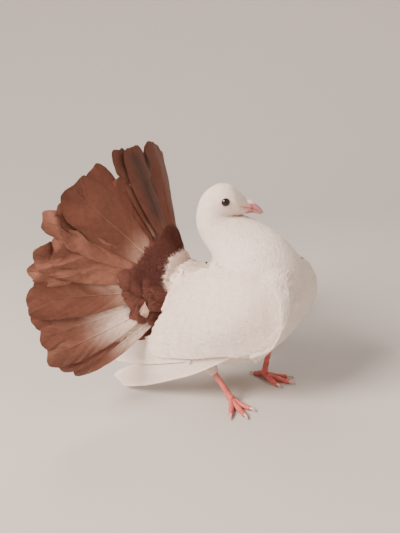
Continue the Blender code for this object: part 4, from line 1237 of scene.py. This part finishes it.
def layBarbs(heap, side, face, look, base, light, rng):
    # loose barbs over a soft layer's outer part, each a thin strip curved by a square of its length
    n, stations = look["barbs"] // (1 if face > 0 else 4), 4
    sp, part = rng.uniform(*look["spread"], n)[:, None, None], 1 - rng.uniform(0, 1, n) ** 1.4
    _, inner, outer = domeHeight(look, sp, 0.0)
    re = inner + (outer - inner) * part[:, None, None]
    tau = np.linspace(0, 1, stations)[None, :, None]
    lateral = np.array([1.0, 0.0, -1.0])[None, None, :]
    length = rng.uniform(*look["barbLength"], n)[:, None, None] + 2.5
    turn, curve = (rng.normal(0, v, n)[:, None, None] for v in (0.45, 0.35))
    across = curve * length * tau**2 + lateral * 0.11 * (1 - 0.75 * tau)
    out = re + length * tau * np.cos(turn) - across * np.sin(turn)
    over = across * np.cos(turn) + length * tau * np.sin(turn)
    high = domeHeight(look, sp, out)[0] - 0.5 * (1 - tau) ** 2 + rng.uniform(0, 0.9, n)[:, None, None] * tau
    at = side * (sp + np.degrees(over / np.maximum(out, 6)))
    high = high + 0.05 * (lateral == 0) + 0.15
    points = overFan(at, out, face * high)
    faces, size = barbPattern(stations)
    tint = blendTo(base, light, np.clip(rng.normal(0.4, 0.4, n), 0, 1)[:, None, None] + 0 * at)
    root = fanUnwrap(side, sp + 0 * at, re + 0 * at)
    patch = root + patchSize * np.stack([lateral * 0.5 + 0 * at, tau - 0.5 + 0 * at], -1)
    heap.add(points, repeated(faces, n, size), tint, patch)


def makeTailCoverts(side):
    # short soft feathers over the roots of the long ones, in tiers on both faces of the fan
    name = sideName(-side)
    rng = np.random.default_rng(41 + side)
    heap = Heap()
    # the flesh that the feathers stand in: a closed plate on the fan, thick at its root
    sp, re = grid(side * np.linspace(-2, 110, 50), np.linspace(6, 36, 12))
    half = np.interp(re, [6, 17, 28, 36], [5.5, 4.6, 3.2, 1.2])
    points, faces = closedTube(np.concatenate([overFan(sp, re, half), overFan(sp, re, -half)[:, ::-1]], 1))
    where = np.stack([0.5 + np.arange(len(points)) / len(points) * 0.4 * side, 0.1 + 0 * points[:, 0]], -1)
    heap.add(points, faces, covertTiers["maroon"][0], where)
    for reach, root, half, lift, step, first, last, face in covertTiers["tiers"]:
        for spread in np.arange(first + rng.uniform(0, step * 0.5), last, step):
            at = spread + rng.normal(0, 1.2)
            ends = 5 * np.exp(-((at - 64) / 6.0) ** 2) - 13 * ease(86, 116, at) - 4 * ease(20, 0, at)
            tip = reach + ends * reach / 58 + rng.normal(0, 1.5)
            look = covertLook(root, tip, half * rng.uniform(0.85, 1.15), lift, float(face > 0), rng)
            look["face"] = face
            tones = covertTiers["under" if face < 0 else ("mixed" if rng.uniform() < 0.6 else "maroon")]
            place, bakeAt = fanPlace(side, at, look, rng)
            layVane(heap, look, place, brownShade(tones, shaftLight=0.05), bakeAt, rng)
    if side > 0:
        # a cream feather hanging among the lower lobes, and a small dark one behind it
        for tones, spread, root, length, half, power, turn in (
                ("mixed", 86.5, 49.0, 13.5, 4.2, 6, 62), ("cream", 87.0, 42.0, 15.5, 5.2, 2.2, 69)):
            look = covertLook(root, root + length, half, 5.2, 1.0, rng)
            look.update(turn=turn, power=power, bend=0.0, quill=root - 1)
            place, bakeAt = fanPlace(side, spread, look, rng)
            layVane(heap, look, place, brownShade(covertTiers[tones], shaftLight=0.05), bakeAt, rng)
    for lay in (laySoft, layBarbs):
        lay(heap, side, 1, covertTiers["soft"], *covertTiers["tufts"], rng)
    piece = heap.make("tail_coverts_" + name, covertPlumage)
    down = Heap()
    for face in (1, -1):
        for lay in (laySoft, layBarbs):
            lay(down, side, face, covertTiers["down"], coat["white"], coat["shade"], rng)
    piece = down.make("rump_down_" + name, whitePlumage)


for side in (1, -1):
    makeTailCoverts(side)
print("tail made")


head = dict(
    ball=dict(fuller=0.25, dark=(0.006, 0.004, 0.004), iris=(0.022, 0.009, 0.007), end=(0.008, 0.005, 0.005)),
    # the rim's opening and its section: out from the opening, up from the eye's centre
    lid=dict(opening=(3.36, 3.15), bumps=22, tint=(0.62, 0.45, 0.42), inner=(0.20, 0.11, 0.10),
             section=[(-0.22, 1.4), (-0.14, 2.30), (0.0, 2.50), (0.16, 2.56), (0.32, 2.48), (0.52, 2.24),
                      (0.75, 1.85), (1.05, 1.30), (1.2, 0.7), (0.6, 0.3)]),
    bill=dict(root=(10.6, 164.0), tip=(25.2, 157.4), half=5.3, high=6.4, low=5.1, blunt=0.36,
              # edge is painted shade along the mouth line, where the two halves meet
              pink=(0.41, 0.14, 0.155), pale=(0.50, 0.27, 0.27), edge=(0.36, 0.10, 0.11)),
    cere=dict(at=(14.6, 0, 167.6), size=(4.9, 4.1, 1.8), pitch=26.0, tint=(0.76, 0.50, 0.47),
              # the nostrils' dark colour below is painted shade in their openings
              slit=(0.40, 0.16, 0.15), front=(0.70, 0.42, 0.40)),
    # the corner of the mouth: rings and angles from the bill back over the cheek, and its thickness
    gape=dict(path=[(17.4, 84), (16.6, 78), (15.9, 75), (15.2, 74)], thick=(1.15, 0.9, 0.55, 0.12),
              # line is the dark of painted shade in the groove between the lips
              lips=(0.72, 0.34, 0.33), line=(0.30, 0.09, 0.09)))


def eyeFrame(side):
    # centre and three directions: out of the head, toward the bill, up along the head
    centre, outward = eyePlace(side)
    toward = onHead(np.array([[1.0, 0, 0], [0, 0, 0]]))
    forward = unit(toward[0] - toward[1])
    forward = unit(forward - outward * (forward @ outward))
    above = unit(upward - outward * outward[2] - forward * forward[2])
    return centre, outward, forward, above


def makeEye(side):
    name = sideName(side)
    centre, outward, forward, above = eyeFrame(side)
    # the ball: a sphere with a slightly fuller cornea, its rings about the outward line
    polar, angle = grid(np.linspace(0.03, math.pi - 0.03, 48), np.linspace(0, fullTurn, 56, False))
    look = head["ball"]
    radius = eye["radius"] + look["fuller"] * np.exp(-(polar / 0.55) ** 2)
    around = np.cos(angle)[..., None] * forward + np.sin(angle)[..., None] * above
    way = np.sin(polar)[..., None] * around + np.cos(polar)[..., None] * outward
    points, faces = closedTube(centre + radius[..., None] * way)
    iris = np.exp(-((polar - 0.62) / 0.12) ** 2) + 0.25 * np.exp(-((polar - 0.42) / 0.1) ** 2)
    streak = 1 + 0.4 * np.sin(angle * 23) * np.sin(polar * 40)
    tint = blendTo(look["dark"], look["iris"], np.clip(iris * streak, 0, 1) * 0.8)
    heap = Heap()
    heap.add(points, faces, np.concatenate([tint.reshape(-1, 3), [look["end"]] * 2]))
    piece = heap.make("eyeball_" + name, eyeDark, 180.0)
    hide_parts("eye_" + name)
    # the rim: a ring of bare skin, its profile rolled over the ball and sunk at its outer edge
    wide, tall = head["lid"]["opening"]
    section = head["lid"]["section"]
    profile = resample(section + section[:1], 40)[:-1]
    phi = np.linspace(0, fullTurn, 120, endpoint=False)
    shape = np.stack([wide * np.cos(phi), tall * np.sin(phi)], -1)
    way = unit(np.stack([np.cos(phi) * tall, np.sin(phi) * wide], -1))
    place = shape[:, None] + way[:, None] * profile[None, :, :1]
    bump = np.sin(phi * head["lid"]["bumps"] + 1.3 * np.sin(5 * phi))[:, None]
    bump = 0.07 * bump * np.exp(-((profile[:, 0] - 0.35) / 0.3) ** 2)
    crease = -0.04 * np.exp(-((profile[:, 0] - 0.75) / 0.1) ** 2)[None]
    high = profile[None, :, 1] + bump + crease
    ring = centre + place[..., :1] * forward + place[..., 1:] * above + high[..., None] * outward
    quads = gridFaces(*ring.shape[:2], True, True)
    share = np.exp(-((profile[:, 0] + 0.1) / 0.25) ** 2)[None] + 0 * high
    tint = blendTo(head["lid"]["tint"], head["lid"]["inner"], share)
    heap = Heap()
    heap.add(ring, [quads], tint.reshape(-1, 3))
    piece = heap.make("eye_rim_" + name, lidSkin, 180.0)


def billPoint(s, angle, sign):
    # sections from root to tip: half ellipses above and below the mouth line, hooked at the end
    look = head["bill"]
    root, tip = (np.array([look[end][0], 0, look[end][1]]) for end in ("root", "tip"))
    reach = 1.0 if sign > 0 else 0.90
    centre = root + (tip - root) * (s * reach)[..., None]
    centre[..., 2] += 1.5 * np.sin(math.pi * s * 0.9) - (0.7 * s**6 if sign > 0 else 0.0)
    taper = np.clip(1 - s, 0, 1) ** look["blunt"] * 0.97 + 0.03
    high = (look["high"] if sign > 0 else look["low"]) * (1.06 - 0.06 * s)
    pinch = 1 - 0.16 * np.exp(-((s - 0.42) / 0.16) ** 2)
    side = look["half"] * taper * pinch * np.cos(angle)
    top = sign * high * taper * np.abs(np.sin(angle)) ** 0.85 * (1 - 0.10 * np.exp(-((s - 0.5) / 0.2) ** 2))
    point = centre + 0 * angle[..., None]
    point[..., 1] += side
    point[..., 2] += top + sign * 0.16
    return point


def makeBill():
    # both halves: tubes whose outer side is round and whose inner side is nearly flat
    for name, sign in (("upper", 1.0), ("lower", -1.0)):
        s, angle = grid(1 - (1 - np.linspace(0, 1, 60)) ** 1.4, np.linspace(0, math.pi, 33))
        face = billPoint(s, angle, sign)
        # the inner side returns nearly flat, a little hollow along its middle
        back = billPoint(s, angle[:, ::-1], sign)
        back[..., 2] = billPoint(s, 0 * angle, sign)[..., 2] + sign * 0.25 * np.sin(angle) * (1 - s)
        loop = np.concatenate([face, back[:, 1:-1]], 1)
        points, faces = closedTube(onHead(loop))
        sides = np.concatenate([angle, angle[:, ::-1][:, 1:-1]], 1)
        ss = np.repeat(s[:, :1], loop.shape[1], 1)
        pale = np.clip(ease(0.55, 1.0, ss) * 0.8 + (sign < 0) * 0.55 + 0.25 * np.abs(np.sin(sides)) ** 3
                       + 0.5 * (1 - ease(0, 0.22, ss)), 0, 1)
        tint = blendTo(head["bill"]["pink"], head["bill"]["pale"], pale)
        # darker along the mouth line where the halves meet, fading where the lower half ends: painted shade
        # between them
        edge = np.exp(-(np.sin(sides) / 0.12) ** 2) * (1 - ease(0.7, 0.95, ss))
        tint = blendTo(tint, head["bill"]["edge"], 0.55 * edge).reshape(-1, 3)
        heap = Heap()
        heap.add(points, faces, withEnds(tint))
        piece = heap.make("bill_horn_" + name, billHorn, 60.0)
        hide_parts("bill_" + name)


def makeGape(side):
    # bare pink lips from the bill's root back into the cheek, a groove pressed in between them and painted
    # dark as shade in the groove
    look = head["gape"]
    t, angle = resample([list(p) for p in look["path"]], 40).T
    angle = np.radians(angle) * side
    path = bodyPoint(t, angle) + bodyNormal(t, angle) * 0.05
    radii = np.interp(np.linspace(0, 3, 40), range(4), look["thick"])

    def groove(around, s):
        return -0.3 * np.exp(-(np.sin(around) / 0.2) ** 2) * (1 - 0.5 * s)
    rings = sweep(path, radii, 28, 1.8, groove)
    points, faces = closedTube(rings)
    angle = np.linspace(0, fullTurn, rings.shape[1], endpoint=False)[None] + 0 * rings[..., 0]
    # the groove's dark colour is painted shade
    share = np.exp(-(np.sin(angle) / 0.2) ** 2)
    tint = blendTo(look["lips"], look["line"], share).reshape(-1, 3)
    heap = Heap()
    heap.add(points, faces, withEnds(tint))
    piece = heap.make("gape_" + sideName(side), cereSkin, 180.0)


def makeCere():
    # two chalky lobes over the bill's root, parted by a furrow, each with a narrow nostril under its edge,
    # pressed in and painted dark as shade in the opening
    look = head["cere"]
    polar, angle = grid(np.linspace(0.02, math.pi - 0.02, 60), np.linspace(0, fullTurn, 80, False))
    x, y, z = np.sin(polar) * np.cos(angle), np.sin(polar) * np.sin(angle), np.cos(polar)
    px, py, pz = (place * size for place, size in zip((x, y, z), look["size"]))
    pz = pz + (0.35 - 1.0 * np.exp(-(py / 0.9) ** 2)) * (z > 0) * z
    px = px - 0.9 * np.exp(-(py / 0.8) ** 2) * (x > 0) * x
    slit = np.exp(-((pz + 0.15 + 0.18 * px) / 0.32) ** 2) * ease(0.4, 1.2, px) * ease(1.2, 2.2, np.abs(py))
    wrinkle = 0.05 * np.sin(px * 5 + 2 * np.sin(py * 3)) * np.sin(py * 6)
    scale = 1 - 0.13 * slit + wrinkle / 4
    px, py, pz = px * scale, py * scale, pz * scale
    pitch = math.radians(look["pitch"])
    placed = np.stack([px * math.cos(pitch) + pz * math.sin(pitch), py,
                       pz * math.cos(pitch) - px * math.sin(pitch)], -1) + look["at"]
    points, faces = closedTube(onHead(placed))
    # darker in the nostrils: painted shade in their openings
    tint = blendTo(look["tint"], look["slit"], np.clip(slit * 0.9, 0, 1))
    tint = blendTo(tint, look["front"], 0.5 * ease(0.2, 1.0, x) * (z < 0.5)).reshape(-1, 3)
    heap = Heap()
    heap.add(points, faces, withEnds(tint))
    piece = heap.make("cere_lobes", cereSkin, 180.0)
    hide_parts("cere")


for side in (-1, 1):
    makeEye(side)
    makeGape(side)
makeBill()
makeCere()
print("head made")


foot = dict(
    shank=2.5, toe=2.3, claw=6.5, pink=(0.50, 0.12, 0.108), pale=(0.63, 0.29, 0.25),
    pad=(0.52, 0.17, 0.16), horn=((0.62, 0.42, 0.38), (0.30, 0.19, 0.16)),
    # radii along shank, toe and claw: places from 0 to 1 and shares of their thickness
    shankPlaces=(0, 0.12, 0.5, 0.88, 1), shankTaper=(1.3, 1.05, 0.9, 1.05, 1.35),
    toeTaper=(1.1, 1.05, 1.0, 0.78), clawPlaces=(0, 0.45, 0.85, 1), clawRadii=(1.25, 0.95, 0.42, 0.12),
    # each toe: its turn to the left of the foot's heading and its length
    toes=[("inner", 25.0, 21.0), ("middle", 1.0, 27.0), ("outer", -24.0, 23.0), ("hind", 174.0, 12.0)])


def scutes(count, depth, rows):
    # plates across the top, each higher at its lower edge; small round scales on the sides and pads below
    def relief(angle, s):
        top = np.clip(np.sin(angle), 0, 1) ** 0.6
        below = np.clip(-np.sin(angle), 0, 1)
        plate = (s * count) % 1.0
        step = np.where(plate < 0.85, plate / 0.85, (1 - plate) / 0.15)
        grain = np.sin(s * count * 2.2 * math.pi) * np.sin(angle * rows)
        pads = np.abs(np.sin(s * math.pi * 4)) ** 0.7
        return depth * (step * top + 0.35 * grain * (1 - top) + 1.6 * pads * below)
    return relief


def heading(degrees):
    # a level direction, degrees to the bird's left of straight ahead
    a = math.radians(degrees)
    return np.array([math.cos(a), math.sin(a), 0])


def makeLeg(side):
    # shank and toes as tubes with a relief of scutes, and a claw at the end of each toe
    name = sideName(side)
    place = legs[side]
    hock, ball = place["hock"], place["ball"]
    way = unit(ball - hock)
    heap, claws = Heap(), Heap()

    def limb(path, radii, sides, relief, start=0.0):
        rings = sweep(path, radii, sides, 1.0, relief)
        rings[..., 2] = np.maximum(rings[..., 2], 0.06)
        points, faces = closedTube(rings)
        s = np.linspace(start, 1, len(path))[:, None] + 0 * rings[..., 0]
        angle = np.linspace(0, fullTurn, sides, endpoint=False)[None] + 0 * rings[..., 0]
        plate = relief(angle, np.linspace(0, 1, len(path))[:, None])
        tint = blendTo(foot["pink"], foot["pale"], np.clip(0.55 - 2.2 * plate, 0, 1) * 0.5)
        tint = blendTo(tint, foot["pale"], 0.8 * (1 - ease(-0.6, 0.1, s)))
        tint = blendTo(tint, foot["pad"], 0.35 * ease(0.2, 1.0, -np.sin(angle)))
        unwrap = np.stack([angle / 7 * 0.3, s * 0.5 + 0.5], -1).reshape(-1, 2)
        heap.add(points, faces, withEnds(tint.reshape(-1, 3)), withEnds(unwrap))

    path = resample([hock + way * 0.6, (hock * 2 + ball) / 3, (hock + ball * 2) / 3, ball], 110)
    radii = np.interp(np.linspace(0, 1, 110), foot["shankPlaces"], foot["shankTaper"])
    limb(path, radii * foot["shank"], 40, scutes(9, 0.22, 7), -0.7)
    for toe, turn, long in foot["toes"]:
        ahead = heading(place["heading"] + turn)
        floor = np.array([ball[0], ball[1], 0])
        rows = [ball - upward, floor + ahead * 6 + upward * 3.2, floor + ahead * (0.6 * long) + upward * 2.0,
                floor + ahead * long + upward * 1.9]
        steps = int(long * 5)
        knuckles = 0.10 * np.cos(np.linspace(0, 1, steps) * math.pi * 6)
        radii = np.interp(np.linspace(0, 1, steps), [0, 1 / 3, 2 / 3, 1], foot["toeTaper"]) * foot["toe"]
        path = resample(rows, steps)
        limb(path, radii + knuckles, 34, scutes(int(long / 2.1), 0.17, 6))
        end, out, claw = path[-1], unit(path[-1] - path[-4]), foot["claw"]
        path = resample([end + out * 0.2 + upward * 0.25, end + out * claw * 0.45 + upward * 0.45,
                         end + out * claw * 0.8 - upward * 0.3, end + out * claw - upward * 1.15], 30)
        radii = np.interp(np.linspace(0, 1, 30), foot["clawPlaces"], foot["clawRadii"])
        rings = sweep(path, radii, 24)
        rings[..., 2] = np.maximum(rings[..., 2], 0.08)
        points, faces = closedTube(rings)
        tint = blendTo(*foot["horn"], ease(0.1, 1.0, np.linspace(0, 1, 30)))
        claws.add(points, faces, withEnds(np.repeat(tint, 24, 0)))
    piece = heap.make("leg_scutes_" + name, legSkin, 180.0)
    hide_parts("foot_" + name)
    piece = claws.make("claws_" + name, clawHorn, 180.0)
    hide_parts(*["claw_" + toe + "_" + name for toe, _, _ in foot["toes"]])


for side in (-1, 1):
    makeLeg(side)
print("legs made")


def stageFinish(name, tint, rough):
    # plain paint with a faint large mottle
    paint = Finish(name)
    paint.shader.inputs["Roughness"].default_value = rough
    shown = paint.ramp(paint.noise(3.0, 2.0), [0.97 * c for c in tint], tint)
    paint.links.new(shown, paint.shader.inputs["Base Color"])
    return paint.made


stage = dict(tint=(0.42, 0.405, 0.39), flat=0.8, rise=1.0, wall=2.0, world=(0.97, 0.86, 0.785),
             worldPower=0.72, aim=(0, 0, 0.11), sides=96)


def makeStage():
    # a floor that rises all round into a wall: flat, a quarter circle, then straight up
    arc, sides = np.linspace(0, math.pi / 2, 20), stage["sides"]
    flat, rise = stage["flat"], stage["rise"]
    radius = np.concatenate([[0.05], flat + rise * np.sin(arc), [flat + rise]])
    high = np.concatenate([[0.0], rise * (1 - np.cos(arc)), [rise + stage["wall"]]])
    angle = np.linspace(0, fullTurn, sides, endpoint=False)
    points = np.stack([radius[:, None] * np.cos(angle), radius[:, None] * np.sin(angle),
                       high[:, None] + 0 * angle], -1).reshape(-1, 3)
    centre = np.stack([np.full(sides, len(points)), np.arange(sides), (np.arange(sides) + 1) % sides], -1)
    mesh = bpy.data.meshes.new("floor")
    mesh.from_pydata(points.tolist() + [(0, 0, 0)], [],
                     gridFaces(len(radius), sides, True)[:, ::-1].tolist() + centre.tolist())
    mesh.polygons.foreach_set("use_smooth", np.ones(len(mesh.polygons), bool))
    mesh.materials.append(stageFinish("pale floor", stage["tint"], 0.85))
    floor = linked("floor", mesh)


view = dict(azimuth=30.0, elevation=15.0, roll=6.0, at=(234.8, -468.1, 258.1), focal=640.0, height=533,
            sensor=36.0, clip=(0.01, 100.0))


def makeCamera():
    # a pinhole set by two angles and a roll, its focal length in pixels of a frame 533 high
    az, el, roll = (math.radians(view[k]) for k in ("azimuth", "elevation", "roll"))
    back = np.array([math.sin(az) * math.cos(el), -math.cos(az) * math.cos(el), math.sin(el)])
    level = np.array([math.cos(az), math.sin(az), 0])
    above = np.cross(back, level)
    right = math.cos(roll) * level - math.sin(roll) * above
    top = math.sin(roll) * level + math.cos(roll) * above
    lens = bpy.data.cameras.new("camera")
    lens.sensor_fit, lens.sensor_width = "AUTO", view["sensor"]
    lens.lens = view["focal"] / view["height"] * view["sensor"]
    lens.clip_start, lens.clip_end = view["clip"]
    camera = linked("camera", lens)
    at = (np.array(view["at"]) - birdShift) * mm
    camera.matrix_world = axesMatrix(right, top, back, at)
    bpy.context.scene.camera = camera


def makeLight(name, place, size, power, tint):
    # a square soft box aimed at the bird's middle
    lamp = bpy.data.lights.new(name, "AREA")
    lamp.shape, lamp.size, lamp.energy, lamp.color = "SQUARE", size, power, tint
    made = linked(name, lamp)
    away = unit(np.array(place) - np.array(stage["aim"]))
    side = unit(np.cross(upward, away))
    top = np.cross(away, side)
    made.matrix_world = axesMatrix(side, top, away, place)


makeStage()
makeCamera()
# place, size, power and tint of each soft box
makeLight("key light", (-0.55, -1.1, 1.15), 0.8, 84.0, (1.0, 0.835, 0.73))
makeLight("fill light", (1.5, -0.5, 0.7), 1.2, 10.0, (1.0, 0.89, 0.82))
makeLight("top light", (-0.6, 0.9, 1.5), 1.0, 14.0, (1.0, 0.90, 0.82))

world = bpy.data.worlds.new("studio")
world.use_nodes = True
world.node_tree.nodes["Background"].inputs["Color"].default_value = stage["world"] + (1.0,)
world.node_tree.nodes["Background"].inputs["Strength"].default_value = stage["worldPower"]
bpy.context.scene.world = world
print("stage, camera and lights made")
